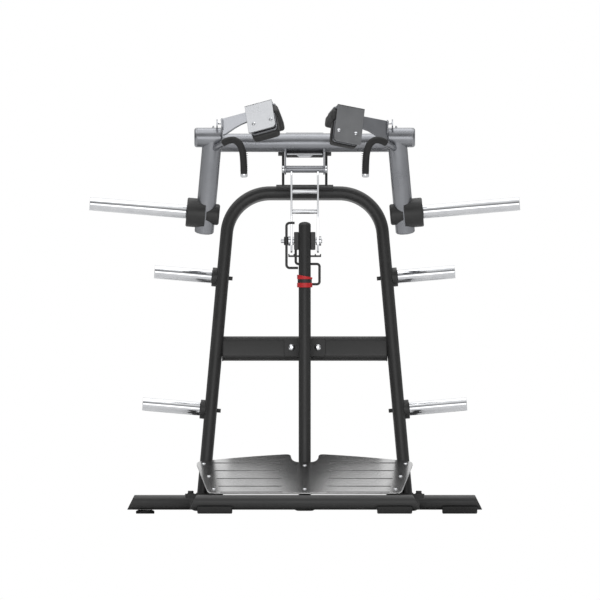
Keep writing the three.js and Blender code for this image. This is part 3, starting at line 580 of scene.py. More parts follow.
def floor_beam(node):
    low, high = node_box(node)
    middle = (low.y + high.y) / 2
    centre = BEAM_LOW + BEAM_TALL / 2
    section = obround(BEAM_DEEP, BEAM_TALL, 20)
    rings = []
    for share in (-1, -0.6, 0.6, 1):
        # The ends slant in by one bevel over the beam's height.
        rings.append([Vector((share * (high.x - BEAM_BEVEL * (centre + v - BEAM_LOW) / BEAM_TALL),
                              middle + u, centre + v)) for u, v in section])
    make(f"{node}_tube", loft(rings), nodes=[node], bevel=2.5, segments=3)


def floor_rail(node):
    low, high = node_box(node)
    centre = (low + high) / 2
    into_beam = 20
    path = [(centre.x, low.y - into_beam, centre.z), (centre.x, high.y + into_beam, centre.z)]
    tube = sweep([(u, -v) for u, v in obround(TUBE_DEEP, TUBE_WIDE)], path, RIGHT)
    make(f"{node}_tube", tube, nodes=[node])


def shoe(node):
    low, high = node_box(node)
    middle = (low + high) / 2
    wide, deep, tall = high.x - low.x, high.y - low.y, high.z
    place = Matrix.Translation((middle.x, middle.y, low.z))
    rings = []
    for z, inset in ((0, 4.0), (2.0, 1.6), (4.0, 0.8), (tall - 3.0, 0.0), (tall - 0.8, 0.8), (tall, 2.4)):
        outline = rounded_rectangle(wide - 2 * inset, deep - 2 * inset, 7)
        rings.append([place @ Vector((x, y, z)) for x, y in outline])
    ribs, pitch, half, proud = 8, 15, 2, 0.4
    tread = [brick(x - half, x + half, low.y - proud, low.y + 2, 4, 20)
             for x in (middle.x + (i - (ribs - 1) / 2) * pitch for i in range(ribs))]
    make(f"{node}_shoe", loft(rings), "frame", "rubber", [node], bevel=0.6)
    make(f"{node}_ribs", combine(*tread), "frame", "rubber", bevel=0.5)


def levelling_foot(node):
    low, high = node_box(node)
    centre = (low + high) / 2
    profile = [(0, 0), (0, 32.5), (1.2, 34.3), (3, 35), (9.5, 35), (11, 34.2), (13.5, 28), (high.z, 26),
               (high.z, 0)]
    make(f"{node}_pad", lathe(profile, (centre.x, centre.y, 0), UP), "frame", "rubber", [node])


def build_base():
    floor_beam("front_floor_beam")
    floor_beam("rear_floor_beam")
    for place in ("left", "right", "centre"):
        floor_rail(f"{place}_floor_rail")
    for place in ("front_left", "front_right", "rear_right"):
        shoe(f"{place}_foot")
    levelling_foot("rear_left_levelling_foot")


# ---- foot plate ----

PLATE_PLACE = Matrix.Translation((0, PLATE_NEAR_Y, PLATE_NEAR_Z)) @ Matrix.Rotation(PLATE_SLOPE, 4, "X")


def quadratic(start, control, end, steps=8):
    points = []
    for i in range(1, steps + 1):
        t = i / steps
        points.append(tuple((1 - t) ** 2 * start[k] + 2 * t * (1 - t) * control[k] + t * t * end[k]
                            for k in (0, 1)))
    return points


def footplate_outline(inset):
    """Right half of the outline in (X, distance up the slope), then its mirror image."""
    half = [(343 - inset, inset)]
    half += quadratic(half[-1], (363 - inset, 2 + inset), (369 - inset, 37))
    half += [(407 - inset, 338)]
    half += quadratic(half[-1], (412 - inset, 384 - inset), (392 - inset, 392 - inset))
    half += quadratic(half[-1], (232, 448 - inset), (72 + inset / 2, 476 - inset))
    half += quadratic(half[-1], (54 + inset, 478 - inset), (52 + inset, 455))
    half += quadratic(half[-1], (51 + inset, 384 - inset), (20, 380 - inset))
    return half + [(-x, y) for x, y in reversed(half)]


def ridge(up, sign):
    """A low rounded rib across one half of the plate, tapered at both ends."""
    wide, tall, sunk = 3.2, 1.9, 0.2
    share = up / 369
    inner, outer = 82 + 10 * share, 322 + 24 * share
    long = outer - inner
    section = [(wide * math.cos(a), tall * math.sin(a)) for a in (math.pi * k / 8 for k in range(9))]
    stations = [(0, 0.15), (2, 0.7), (5, 1.0), (long - 5, 1.0), (long - 2, 0.7), (long, 0.15)]
    return loft([[PLATE_PLACE @ Vector((sign * (inner + run), up + u * size, v * size - sunk))
                  for u, v in section] for run, size in stations])


def build_footplate():
    levels = ((-PLATE_THICK, 1.0), (-PLATE_THICK + 1.0, 0.0), (-1.2, 0.0), (-0.35, 0.35), (0, 1.2))
    rings = [[PLATE_PLACE @ Vector((x, y, height)) for x, y in footplate_outline(inset)]
             for height, inset in levels]
    make("footplate_sheet", loft(rings), "frame", "footplate_metal", ["footplate"], angle=12)
    ridges = [ridge(up, sign) for up in (12, 84, 178, 275, 369) for sign in SIDES.values()]
    # The ridges use a darker copy of the plate's sheet material, which is painted shade along the ribs.
    make("footplate_ridges", combine(*ridges), "frame", "ridge_painted_shade")
    bolts = [(0, 48), (0, 336)]
    bolts += [(sign * x, y) for sign in SIDES.values() for x, y in ((343, 48), (362, 204), (381, 358))]
    up = PLATE_PLACE.to_3x3() @ Vector(UP)
    heads = [button_bolt(PLATE_PLACE @ Vector((x, y, 0)), up, 7.5, 4.2) for x, y in bolts]
    make("footplate_bolts", combine(*heads), "frame", "chrome")
    for side in SIDES:
        node = f"{side}_footplate_wedge"
        low, high = node_box(node)
        near = high.z - (high.y - low.y) * math.tan(PLATE_SLOPE)
        outline = [(low.y, low.z), (high.y, low.z), (high.y, high.z), (low.y, near)]
        make(f"{node}_plate", side_slab(outline, low.x, high.x), nodes=[node], bevel=1.0)


# ---- main arch ----
# The arch and what sits on it are drawn upright at Y 0 and then leaned back about the crossbar's height.

LEANING = Matrix.Translation((0, LEAN_Y, 0)) @ Matrix.Rotation(-LEAN, 4, "X")


def up_slope(z):
    return z / math.cos(LEAN)


def leg_x(z):
    return LEG_X - (z - LEG_Z) * ARCH_SLOPE


def build_arch():
    foot_z = 60
    legs = [(leg_x(z), 0, up_slope(z)) for z in (ARCH_TOP, foot_z)]
    points = [(-x, y, z) for x, y, z in reversed(legs)] + legs
    tube = sweep(obround(TUBE_DEEP, TUBE_WIDE), bent_path(points, ARCH_BEND, 22), BACK)
    make("arch_tube", moved(tube, LEANING), nodes=["main_arch"])
    foot_y = (RAIL_TOP - CROSSBAR_Z) * math.tan(LEAN)
    flange_top = RAIL_TOP + FLANGE_THICK
    for side in SIDES:
        place = Matrix.Translation((FLANGE_X, foot_y, RAIL_TOP))
        flange = slab(rounded_rectangle(144, 150, 12), FLANGE_THICK, place)
        make_side(side, "arch_flange", flange, bevel=1.6)
        bolts = [hex_bolt((x, foot_y + y, flange_top)) for x in (330, 431) for y in (-58, 58)]
        make_side(side, "flange_bolts", combine(*bolts), "frame", "black_plastic", bevel=0.4)
        outline = obround(TUBE_WIDE + 3, TUBE_DEEP + 3)
        path = [(leg_x(76) + x, foot_y + 2.5 + y, 77) for x, y in outline]
        make_side(side, "foot_weld", bead(path + [path[0]]))


def build_crossbar():
    level = up_slope(CROSSBAR_Z)
    section = [(v, u) for u, v in obround(TUBE_WIDE, CROSSBAR_TALL, 20)]
    bar = sweep(section, [(-CROSSBAR_HALF, 0, level), (CROSSBAR_HALF, 0, level)], UP)
    make("crossbar_tube", moved(bar, LEANING), nodes=["crossbar"])
    face_y, thick = -31.8, 8
    place = (Matrix.Translation((0, face_y, level)) @ Matrix.Rotation(math.pi / 2, 4, "X")
             @ Matrix.Translation((0, 0, -thick)))
    plate = slab(rounded_rectangle(156, 68, 10), thick, place)
    spacer = brick(-21, 21, -52, -24, level - 34, level + 34)
    make("post_plate", moved(plate, LEANING), nodes=["post_mounting_plate"], bevel=1.2)
    make("post_spacer", moved(spacer, LEANING), bevel=1.2)
    bolts = [button_bolt((sign * 49.5, face_y, level), FRONT, 13.2, 7.5) for sign in SIDES.values()]
    make("crossbar_bolts", moved(combine(*bolts), LEANING), "frame", "chrome")
    for side in SIDES:
        ends = [(leg_x(CROSSBAR_Z) - 24, y * 0.98, level + z * 0.98)
                for y, z in obround(TUBE_WIDE, CROSSBAR_TALL)]
        make_side(side, "crossbar_weld", moved(bead(ends + [ends[0]]), LEANING))


def build_storage():
    tilt = math.atan(ARCH_SLOPE)
    out = Vector((math.cos(tilt), 0, math.sin(tilt)))
    stand_off = 17
    for level, z in STORAGE_Z.items():
        face = Vector((leg_x(z) + TUBE_WIDE / 2 + stand_off, 0, up_slope(z)))
        horn = rod(STORAGE_HORN, SLEEVE_RADIUS, 1.8, face, out, 56, 0.3)
        flange = rod(STORAGE_FLANGE, 36, 2.5, face, out, 56, -STORAGE_FLANGE)
        stub = rod(15, 7.5, 1.0, face - out * (TUBE_WIDE + stand_off - 1), -out, 32)
        for side in SIDES:
            make_side(side, f"{level}_horn", moved(horn, LEANING), "frame", "chrome",
                      [f"{level}_storage_horn"])
            make_side(side, f"{level}_flange", moved(flange, LEANING), "frame", "black_plastic",
                      [f"{level}_storage_flange"])
            make_side(side, f"{level}_stub", moved(stub, LEANING), "frame", "black_plastic")


# ---- post ----


def build_post():
    section = obround(POST_WIDE, TUBE_DEEP, 18)
    rings = [[Vector((x, POST_Y + y, z)) for x, y in section] for z in (RAIL_TOP, POST_TOP)]
    steps, flat = 8, 0.03
    for k in range(1, steps + 1):
        a = math.pi / 2 * k / steps
        shrink = math.cos(a) * (1 - flat) + flat
        rings.append([Vector((x * shrink, POST_Y + y * shrink, POST_TOP + POST_DOME * math.sin(a)))
                      for x, y in section])
    make("post_tube", loft(rings), nodes=["post"], angle=60)
    for side in SIDES:
        block = brick(22, 40.5, POST_Y - 31, POST_Y + 31, 997, 1065)
        make_side(side, "post_block", block, bevel=3.0, segments=3)
    build_collar()
    build_loop()
    build_cradle()


def collar_band(name, z0, z1, wide, deep, slot, nodes=(), slant=0.0):
    """A band round the post, its height falling by slant per millimetre towards +X at its top."""
    inner = obround(POST_WIDE + 0.6, TUBE_DEEP + 0.6, 18)
    outer = obround(wide, deep, 18)
    rim = obround(wide - 2, deep - 2, 18)
    levels = [(inner, z0), (rim, z0), (outer, z0 + 1), (outer, z1 - 1), (rim, z1), (inner, z1), (inner, z0)]
    rings = [[Vector((x, POST_Y + y, z - slant * x * (z - z0) / (z1 - z0))) for x, y in outline]
             for outline, z in levels]
    make(name, loft(rings, capped=False), "frame", slot, nodes)


def build_collar():
    low, high = node_box("post_collar")
    wide, deep = high.x - low.x, high.y - low.y
    proud, sunk = 3, 1
    collar_band("collar_lower_band", low.z - 2, low.z + 15, wide + proud, deep + proud, "red_plastic",
                ["post_collar"])
    collar_band("collar_sleeve", low.z + 14, high.z - 13, wide - sunk, deep - sunk, "black_plastic")
    collar_band("collar_upper_band", high.z - 14, high.z - 2, wide + proud, deep + proud, "red_plastic",
                slant=0.18)


def build_loop():
    low, high = node_box("post_wire_loop")
    top, bottom, out = high.z - WIRE, low.z + WIRE, high.x - WIRE
    points = [(POST_WIDE / 2 - 1, POST_Y, top), (out, POST_Y, top), (out, POST_Y, bottom),
              (26, POST_Y, bottom)]
    make("wire_loop", sweep(ring(WIRE, 20), bent_path(points, 10), BACK),
         nodes=["post_wire_loop"])
    inner = [(-34, POST_Y, 1000), (-34, POST_Y, top), (-18, POST_Y, top)]
    make("inner_wire", sweep(ring(WIRE, 20), bent_path(inner, 10), BACK))


def build_cradle():
    low, high = node_box("prop_cradle")
    half = [(37.9, 7), (37.9, 12), (42.5, 12), (42.5, 7), (57.5, 7), (57.5, 12), (62.1, 12), (62.1, 0)]
    outline = half + [(-x, z) for x, z in reversed(half)]
    rings = [[Vector((x, y, low.z + z)) for x, z in outline] for y in (low.y, high.y)]
    make("cradle_bar", loft(rings), nodes=["prop_cradle"], bevel=1.0)


# ---- prop ----


def prop_outline():
    """One side bar seen from the side: straight, with a seat and a prong in front for the lock tube."""
    seat = LOCK.z - LOCK_RADIUS - SEAT_GAP - PROP_Z
    offset = LOCK.y - POST_Y
    prong = offset - LOCK_RADIUS - 1
    tail = arc((0, -33), PROP_HALF - 1, 200, 340, 14)
    points = [(-PROP_HALF, 0)] + tail + [
        (PROP_HALF, 0), (offset + PROP_HALF, seat - 12), (offset + PROP_HALF - 3, seat), (prong, seat),
        (prong, seat + PRONG_TALL), (prong - PRONG_WIDE, seat + PRONG_TALL), (prong - PRONG_WIDE, seat - 18),
        (offset - PROP_HALF, seat - 34)]
    return [(POST_Y + y, PROP_Z + z) for y, z in points]


def build_prop():
    bore = PROP_SHAFT + 0.5
    for side in SIDES:
        stands_for = side == "right"
        make(f"{side}_prop_bar", side_slab(prop_outline(), *PROP_BAR), "prop", "chrome",
             ["prop_arm"] if stands_for else [], SIDES[side], bevel=1.6, segments=3)
        disc = closed_lathe([(0, bore), (0, 17), (1, 18.5), (7, 18.5), (8, 17), (8, bore)],
                            (54.3, POST_Y, PROP_Z), RIGHT)
        make(f"{side}_prop_disc", disc, "prop", "chrome", ["prop_axle"] if stands_for else [], SIDES[side])
        washer = closed_lathe([(0, bore), (0, 15), (0.6, 15.6), (3.4, 15.6), (4, 15), (4, bore)],
                              (41.6, POST_Y, PROP_Z), RIGHT)
        make_side(side, "prop_washer", washer, "prop", "chrome")
    lean = (LOCK.y - POST_Y) / (LOCK.z - PROP_Z)
    for name, z, radius in (("upper", 1217.5, 7.6), ("lower", 1142, 8.6)):
        rung = rod(94, radius, 0.8, (-47, POST_Y + (z - PROP_Z) * lean, z), sides=36)
        make(f"prop_{name}_rung", rung, "prop", "chrome")
    make("prop_shaft", rod(156, PROP_SHAFT, 1.2, (0, POST_Y, PROP_Z), start=-90), "prop", "chrome")
    build_prop_handle()


def build_prop_handle():
    x, y = -69, POST_Y - PROP_HALF - WIRE
    points = [(-38, y, 1099), (x, y, 1099), (x, y, 929), (-25, y, 929)]
    make("prop_wire_handle", sweep(ring(WIRE, 20), bent_path(points, 12), BACK), "prop", "black_paint",
         ["prop_handle"])
    clamp = closed_lathe([(0, 8.6), (0, 15), (1.2, 16), (17.8, 16), (19, 15), (19, 8.6)],
                         (x - 9.5, POST_Y, PROP_Z), RIGHT)
    make("prop_clamp", clamp, "prop", "black_paint")


# ---- main pivot ----


def build_pivot():
    arch_y = (ARCH_TOP - CROSSBAR_Z) * math.tan(LEAN)
    base = ARCH_TOP + 14
    bore = PIVOT_SHAFT + 0.5
    outline = [(arch_y - 44, base), (arch_y + 52, base)] + arc((PIVOT.y, PIVOT.z), PIVOT_BOSS, -8, 186, 30)
    for side in SIDES:
        cheek = side_slab(outline, CHEEK_INNER, CHEEK_OUTER)
        make_side(side, "cheek", cheek, bevel=1.5, segments=3)
        profile = [(0, bore), (0, PIVOT_BOSS), (12.5, PIVOT_BOSS), (14.2, PIVOT_BOSS - 1.7), (14.2, bore)]
        boss = closed_lathe(profile, (CHEEK_OUTER, PIVOT.y, PIVOT.z), RIGHT)
        make_side(side, "pivot_boss", boss)
        foot = [(CHEEK_OUTER + 0.5, arch_y + y, base) for y in (-40, 0, 48)]
        make_side(side, "cheek_weld", bead(foot))
    grow, slack, half = 12, 0.4, 108
    upper = [(y, z) for y, z in obround(TUBE_DEEP + grow, TUBE_WIDE + grow, 20) if z > 4]
    lower = [(y * (TUBE_DEEP + slack) / (TUBE_DEEP + grow), z * (TUBE_WIDE + slack) / (TUBE_WIDE + grow))
             for y, z in reversed(upper)]
    rings = [[Vector((x, y, up_slope(ARCH_TOP) + z)) for y, z in upper + lower] for x in (-half, half)]
    make("pivot_saddle", moved(loft(rings), LEANING), nodes=["pivot_clevis"], bevel=1.2)
    end = CHEEK_OUTER + 14.5
    head = [(end, PIVOT_SHAFT), (end, 21), (end + 8, 21), (end + 10, 18), (end + 10, 0)]
    profile = [(-x, radius) for x, radius in reversed(head)] + head
    make("pivot_shaft", lathe(profile, PIVOT, RIGHT), "frame", "chrome", ["pivot_axle"])


# ---- lever ----


def link_outline():
    nose = arc((LOCK.y, LOCK.z), LINK_NOSE, 291, 150, 18)
    crown = arc((YOKE_Y, YOKE_Z), LINK_CROWN, 219, 90, 16)
    tail = arc((PIVOT.y, PIVOT.z), LINK_TAIL, 90, -78, 26)
    return [(PIVOT.y + 10, PIVOT.z - 43), (LOCK.y + 6, LOCK.z - 20)] + nose + crown + tail


def build_lever():
    bore, radius, long = 15.6, 46, 2 * LINK_INNER
    for side in SIDES:
        link = side_slab(link_outline(), LINK_INNER, LINK_INNER + LINK_THICK)
        make(f"{side}_link_plate", link, "lever", "grey_paint", ["lever_hub"] if side == "right" else [],
             SIDES[side], bevel=1.2)
        nut = rod(9, 14.5, 1.5, (LINK_INNER + LINK_THICK, LOCK.y, LOCK.z))
        make_side(side, "lock_nut", nut, "lever", "chrome")
    bearing = closed_lathe([(0, bore), (0, radius), (long, radius), (long, bore)],
                           (-LINK_INNER, PIVOT.y, PIVOT.z), RIGHT)
    make("bearing_tube", bearing, "lever", "grey_paint")
    lock = rod(long, LOCK_RADIUS, 0.5, LOCK, sides=44, start=-LINK_INNER)
    make("lock_tube", lock, "lever", "grey_paint")
    under = YOKE_Z - YOKE_RADIUS
    gusset = brick(-68, 68, YOKE_Y - 22, YOKE_Y + 30, under - 11, under - 5)
    make("yoke_gusset", gusset, "lever", "pad_plate_grey", bevel=1.5)
    wedge = [(-34, under - 11), (34, under - 11), (20, under - 21), (-20, under - 21)]
    rib = loft([[Vector((x, y, z)) for x, z in wedge] for y in (YOKE_Y - 18, YOKE_Y + 26)])
    make("yoke_rib", rib, "lever", "pad_plate_grey", bevel=1.5)
    web = brick(-69, 69, YOKE_Y - 8, YOKE_Y + 30, under - 21, under - 4)
    make("yoke_web", web, "lever", "black_paint", bevel=1.0)
    build_yoke()
    for side in SIDES:
        build_housing(side)
        build_weight_arm(side)
        build_handle(side)


def build_yoke():
    ends = [(YOKE_X, YOKE_Y, YOKE_Z), (YOKE_X, SWIVEL_Y + 32, YOKE_Z)]
    points = [(-x, y, z) for x, y, z in reversed(ends)] + ends
    tube = sweep(ring(YOKE_RADIUS, 48), bent_path(points, YOKE_BEND, 20), UP)
    make("yoke_tube", tube, "lever", "grey_paint", ["yoke_beam"])


def build_housing(side):
    inner, outer = SWIVEL_INNER, SWIVEL_OUTER
    profile = [(inner, SWIVEL_BORE), (inner, SWIVEL_RADIUS - 1), (inner + 1, SWIVEL_RADIUS),
               (outer - 1, SWIVEL_RADIUS), (outer, SWIVEL_RADIUS - 1), (outer, SWIVEL_BORE)]
    housing = closed_lathe(profile, (0, SWIVEL_Y, SWIVEL_Z), RIGHT, 64)
    make_side(side, "housing", housing, "lever", "grey_paint", ["swivel_housing"])
    sector = arc((0, 0), INDEX_RIM, 40, 140, 40) + arc((0, 0), 36.6, 140, 40, 30)
    outline = [(SWIVEL_Y + y, SWIVEL_Z + z) for y, z in sector]
    index = make_side(side, "index_sector", side_slab(outline, *INDEX_X), "lever", "grey_paint")
    hole, depth = 4.5, 20
    profile = [(0, 0), (0, hole), (depth, hole), (depth, 0)]
    places = [(322, SWIVEL_Y + INDEX_RADIUS * math.sin(a), SWIVEL_Z + INDEX_RADIUS * math.cos(a))
              for a in (i * INDEX_PITCH for i in range(-2, 3))]
    cut(index, side, *[lathe(profile, place, RIGHT, 24) for place in places])
    thick, fall = 10, 0.28
    rise = [(thick * math.sin(a), SWIVEL_RADIUS * (1 - fall * (1 - math.cos(a))))
            for a in (math.pi / 2 * k / 8 for k in range(9))]
    cap = lathe([(0, 0), (0, SWIVEL_RADIUS)] + rise[1:] + [(thick, 0)],
                (SWIVEL_OUTER + 0.3, SWIVEL_Y, SWIVEL_Z), RIGHT, 64)
    make_side(side, "housing_cap", cap, "lever", "grey_paint", ["swivel_cap"])
    fitting = lathe([(-1, 0), (-1, 4), (2, 4), (2.5, 3), (5, 3), (6, 3.6), (8, 2), (8, 0)],
                    (346, SWIVEL_Y, SWIVEL_Z + SWIVEL_RADIUS), UP, 24)
    make_side(side, "grease_fitting", fitting, "lever", "chrome")


def arm_point(z):
    """The point of the weight arm's centre line at a height."""
    drop = SWIVEL_Z - z
    return Vector((ARM_TOP_X + drop * ARM_SLOPE_X, SWIVEL_Y + drop * ARM_SLOPE_Y, z))


ARM_AXIS = (arm_point(ARM_BOTTOM - 1) - arm_point(ARM_BOTTOM)).normalized()
HORN_AXIS = Vector((math.cos(HORN_TILT), 0, math.sin(HORN_TILT)))


def arm_cylinder(top_z, bottom_z, radius):
    top = arm_point(top_z)
    length = (arm_point(bottom_z) - top).length
    return lathe([(0, 0), (0, radius), (length, radius), (length, 0)], top, ARM_AXIS, 64)


def build_weight_arm(side):
    tube = arm_cylinder(SWIVEL_Z - 6, ARM_BOTTOM, ARM_RADIUS)
    make_side(side, "arm_tube", tube, "lever", "grey_paint", ["weight_arm"])
    plug = [(0.3, 0), (0.3, ARM_RADIUS - 0.5), (2.5, ARM_RADIUS - 0.5), (5, ARM_RADIUS - 3),
            (6, ARM_RADIUS - 8), (6, 0)]
    make_side(side, "arm_plug", lathe(plug, arm_point(ARM_BOTTOM), ARM_AXIS, 64), "lever", "grey_paint",
              ["weight_arm_cap"])
    centre = arm_point(HORN_Z)
    inside = 20
    horn = rod(HORN_TIP - inside, SLEEVE_RADIUS, 1.8, centre, HORN_AXIS, 56, inside)
    make_side(side, "horn", horn, "lever", "chrome", ["weight_horn"])
    room = arm_cylinder(SWIVEL_Z, 980, ARM_RADIUS + 0.2)
    for name, profile, axis, sides in (("outer", hub_profile(HUB_GAP, 73, 55, 6), HORN_AXIS, 72),
                                       ("inner", hub_profile(HUB_GAP, 52, 40, 9), -HORN_AXIS, 64)):
        hub = make_side(side, f"{name}_hub", lathe(profile, centre, axis, sides), "lever", "black_plastic",
                        [f"{name}_collar"])
        cut(hub, side, room)


def build_handle(side):
    route = [(338, -20, -40), (316, -73, -27), (293, -101, -13), (267, -111, -10), (247, -112, -24),
             (236, -112, -50), (231.5, -112, -85), (229.5, -112, -138)]
    path = smooth_path([(x, SWIVEL_Y + y, SWIVEL_Z + z) for x, y, z in route], 8)
    grip = [point for point in path if point.x < 306]
    stub = [point for point in path if point.x > 300]
    make_side(side, "handle_grip", sweep(ring(GRIP_RADIUS, 28), grip, RIGHT), "lever", "rubber", ["handle"])
    make_side(side, "handle_stub", sweep(ring(STUB_RADIUS, 28), stub, RIGHT), "lever", "grey_paint")
    end = path[-1]
    plug = [(0, 0), (0, 13.4), (8, 13.4), (11, 12), (13, 8.5), (13, 0)]
    make_side(side, "handle_plug", lathe(plug, end, (0, 0, -1), 40), "lever", "chrome")
    profile = [(0, 12.6), (0, 13.8), (1.2, 14.1), (2.4, 13.8), (2.4, 12.6)]
    rings = [closed_lathe(profile, (end.x, end.y, end.z + 12 + i * 8), UP, 32) for i in range(10)]
    make_side(side, "grip_rings", combine(*rings), "lever", "rubber")


# ---- shoulder pads ----
# A pad's pieces are drawn in its own frame: X outward, Y away from the user, Z up, from the plate's centre.


def swivel_place(side):
    return Matrix.Translation((0, SWIVEL_Y, SWIVEL_Z)) @ Matrix.Rotation(PAD_TIP[side], 4, "X")


def pad_place(side):
    turned = Matrix.Rotation(PAD_YAW, 4, "Z") @ Matrix.Rotation(PAD_ROLL, 4, "Y")
    return swivel_place(side) @ (Matrix.Translation(PAD_CENTRE) @ turned)


def pad_piece(side, name, shape, slot, nodes=(), place=pad_place, **looks):
    return make_side(side, name, moved(shape, place(side)), f"{side}_pad", slot, nodes, **looks)


def facing(y):
    """Turns a slab drawn in (X, Z) to stand at depth y, its thickness running away from the user."""
    return Matrix.Translation((0, y, 0)) @ Matrix.Rotation(math.pi / 2, 4, "X") @ Matrix.Scale(-1, 4, UP)


def cushion(wide, deep, tall, cells=18):
    """A crowned block with round edges, centred on the origin."""
    half = Vector((wide / 2, deep / 2, tall / 2))
    vertices, faces = [], []
    for axis in range(3):
        u, v = (axis + 1) % 3, (axis + 2) % 3
        for side in (-1, 1):
            base = len(vertices)
            for i in range(cells + 1):
                for j in range(cells + 1):
                    a = math.sin((i / cells - 0.5) * math.pi)
                    b = math.sin((j / cells - 0.5) * math.pi)
                    point = [0, 0, 0]
                    point[axis], point[u], point[v] = side * half[axis], a * half[u], b * half[v]
                    core = Vector([max(-half[k] + CUSHION_CORNER, min(half[k] - CUSHION_CORNER, point[k]))
                                   for k in range(3)])
                    placed = core + (Vector(point) - core).normalized() * CUSHION_CORNER
                    swell = CUSHION_CROWN * (1 - a * a) * (1 - b * b) * min(1.0, 4 * half[axis] / max(half))
                    placed[axis] += side * (swell - CUSHION_CROWN)
                    vertices.append(placed)
            for i in range(cells):
                for j in range(cells):
                    low = base + i * (cells + 1) + j
                    polygon = [low, low + 1, low + cells + 2, low + cells + 1]
                    faces.append(polygon if side > 0 else polygon[::-1])
    return vertices, faces


def piping(wide, tall, radius, corner):
    """A sewn cord round a rectangle in X and Z."""
    path = [Vector((x, 0, z)) for x, z in rounded_rectangle(wide, tall, corner, 10)]
    sides = 10
    rings = []
    for i, point in enumerate(path):
        along = (path[(i + 1) % len(path)] - path[i - 1]).normalized()
        out = Vector(BACK).cross(along)
        rings.append([point + (out * math.cos(a) + Vector(BACK) * math.sin(a)) * radius
                      for a in (2 * math.pi * k / sides for k in range(sides))])
    return loft(rings + [rings[0]], capped=False)


def build_pad(side):
    half, top = PAD_WIDE / 2, PAD_TALL / 2
    corner = arc((-half + 16, -top + 16), 16, 180, 270, 10)
    face = [(-half, top)] + corner + [(half - 4, -top), (half, -top + 4), (half, top)]
    plate = slab(face, PAD_PLATE_THICK, facing(0))
    pad_piece(side, "pad_face", plate, "pad_plate_grey", ["pad_plate"], bevel=1.0)
    shelf = brick(-half, half, 0, 115, top - PAD_PLATE_THICK, top)
    pad_piece(side, "pad_shelf", shelf, "pad_plate_grey", bevel=1.0)
    bolts = [button_bolt((x, 0, z), FRONT, 7.5, 5) for x, z in ((-38, -31), (29, -31))]
    pad_piece(side, "pad_bolts", combine(*bolts), "chrome")
    build_cushions(side)
    build_bracket(side)


def build_cushions(side):
    """Two upholstered pads on boards: one under the shelf, one behind the plate."""
    under = PAD_TALL / 2 - PAD_PLATE_THICK - 0.3 - BOARD_THICK
    wide, deep, tall = 122, 114, 46
    board = slab(rounded_rectangle(110, 104, 12), BOARD_THICK, Matrix.Translation((-7, 68, under)))
    pad_piece(side, "top_board", board, "grey_paint", bevel=1.0)
    top = moved(cushion(wide, deep, tall), Matrix.Translation((-9, 70, under - tall / 2)))
    pad_piece(side, "top_cushion", top, "upholstery", ["top_pad"], angle=180)
    x, z, near = -6, -27, 14
    wide, deep, tall = 106, 42, 98
    board = slab(rounded_rectangle(98, 92, 14), BOARD_THICK, Matrix.Translation((x, 0, z)) @ facing(near))
    pad_piece(side, "back_board", board, "grey_paint", bevel=1.0)
    back = moved(cushion(wide, deep, tall), Matrix.Translation((x, near + BOARD_THICK + deep / 2, z)))
    pad_piece(side, "back_cushion", back, "upholstery", ["back_pad"], angle=180)
    seam = moved(piping(wide - 3, tall - 3, 1.3, 16), Matrix.Translation((x, near + CUSHION_CORNER, z)))
    pad_piece(side, "back_seam", seam, "upholstery", angle=180)


def build_bracket(side):
    outline = [(-30, -3.5), (50, -4), (78, -9), (103, -19), (124, -30), (140, -38), (152, -40), (152, 46.5),
               (-30, 46.5)]
    arm = slab(outline, 7.4, facing(PAD_PLATE_THICK + 0.3))
    pad_piece(side, "bracket_arm", arm, "grey_paint", ["pad_bracket"], bevel=1.5)
    hub = 32
    pin_y, pin_z = -INDEX_RADIUS * math.sin(PIN_ANGLE), INDEX_RADIUS * math.cos(PIN_ANGLE)
    outline = arc((0, 0), hub, -90, 60, 20) + [(pin_y + 8, pin_z + 12), (-48, 54), (-60, 44), (-62, -4),
                                               (-hub * 0.7, -hub * 0.72)]
    flange = side_slab(outline, 310.5, 316)
    pad_piece(side, "bracket_flange", flange, "grey_paint", place=swivel_place, bevel=1.5)
    boss = rod(16, 9, 1.0, (294.5, pin_y, pin_z), sides=32)
    pad_piece(side, "pin_boss", boss, "grey_paint", place=swivel_place)
    shaft = rod(88, 19.4, 0.8, (312, 0, 0), sides=48)
    pad_piece(side, "swivel_shaft", shaft, "chrome", place=swivel_place)
    knob = [(268, 0), (268, 8), (270, 10.4), (273, 11), (288, 11), (291, 9), (294.2, 6), (294.2, 0)]
    make_side(side, "pin_knob", moved(lathe(knob, (0, pin_y, pin_z), RIGHT, 36), swivel_place(side)),
              f"{side}_pin", "black_plastic", ["index_pin"])
    near, tip = 293, 328.6
    pin = rod(tip - near, PIN_RADIUS, 1.0, (0, pin_y, pin_z), sides=28, start=near)
    make_side(side, "pin_rod", moved(pin, swivel_place(side)), f"{side}_pin", "chrome")


# ---- stage ----


def area_light(name, place, target, size, energy):
    data = bpy.data.lights.new(name, "AREA")
    data.shape = "RECTANGLE"
    data.size, data.size_y = size
    data.energy = energy
    light = linked(name, data)
    light.visible_camera = False
    light.location = place
    light.rotation_euler = (Vector(target) - Vector(place)).to_track_quat("-Z", "Y").to_euler()


def direction_ramp(tree, value, *stops):
    """Grey tones along one component of the world direction, which runs from -1 to 1."""
    remap = add_node(tree, "MapRange", {"Value": value, "From Min": -1.0})
    return ramp(tree, remap.outputs["Result"], [(position, grey(tone)) for position, tone in stops])


def mixed_colours(tree, factor, first, second, blend="MIX"):
    inputs = {"Factor": factor, 6: first, 7: second}
    return add_node(tree, "Mix", inputs, data_type="RGBA", blend_type=blend).outputs[2]


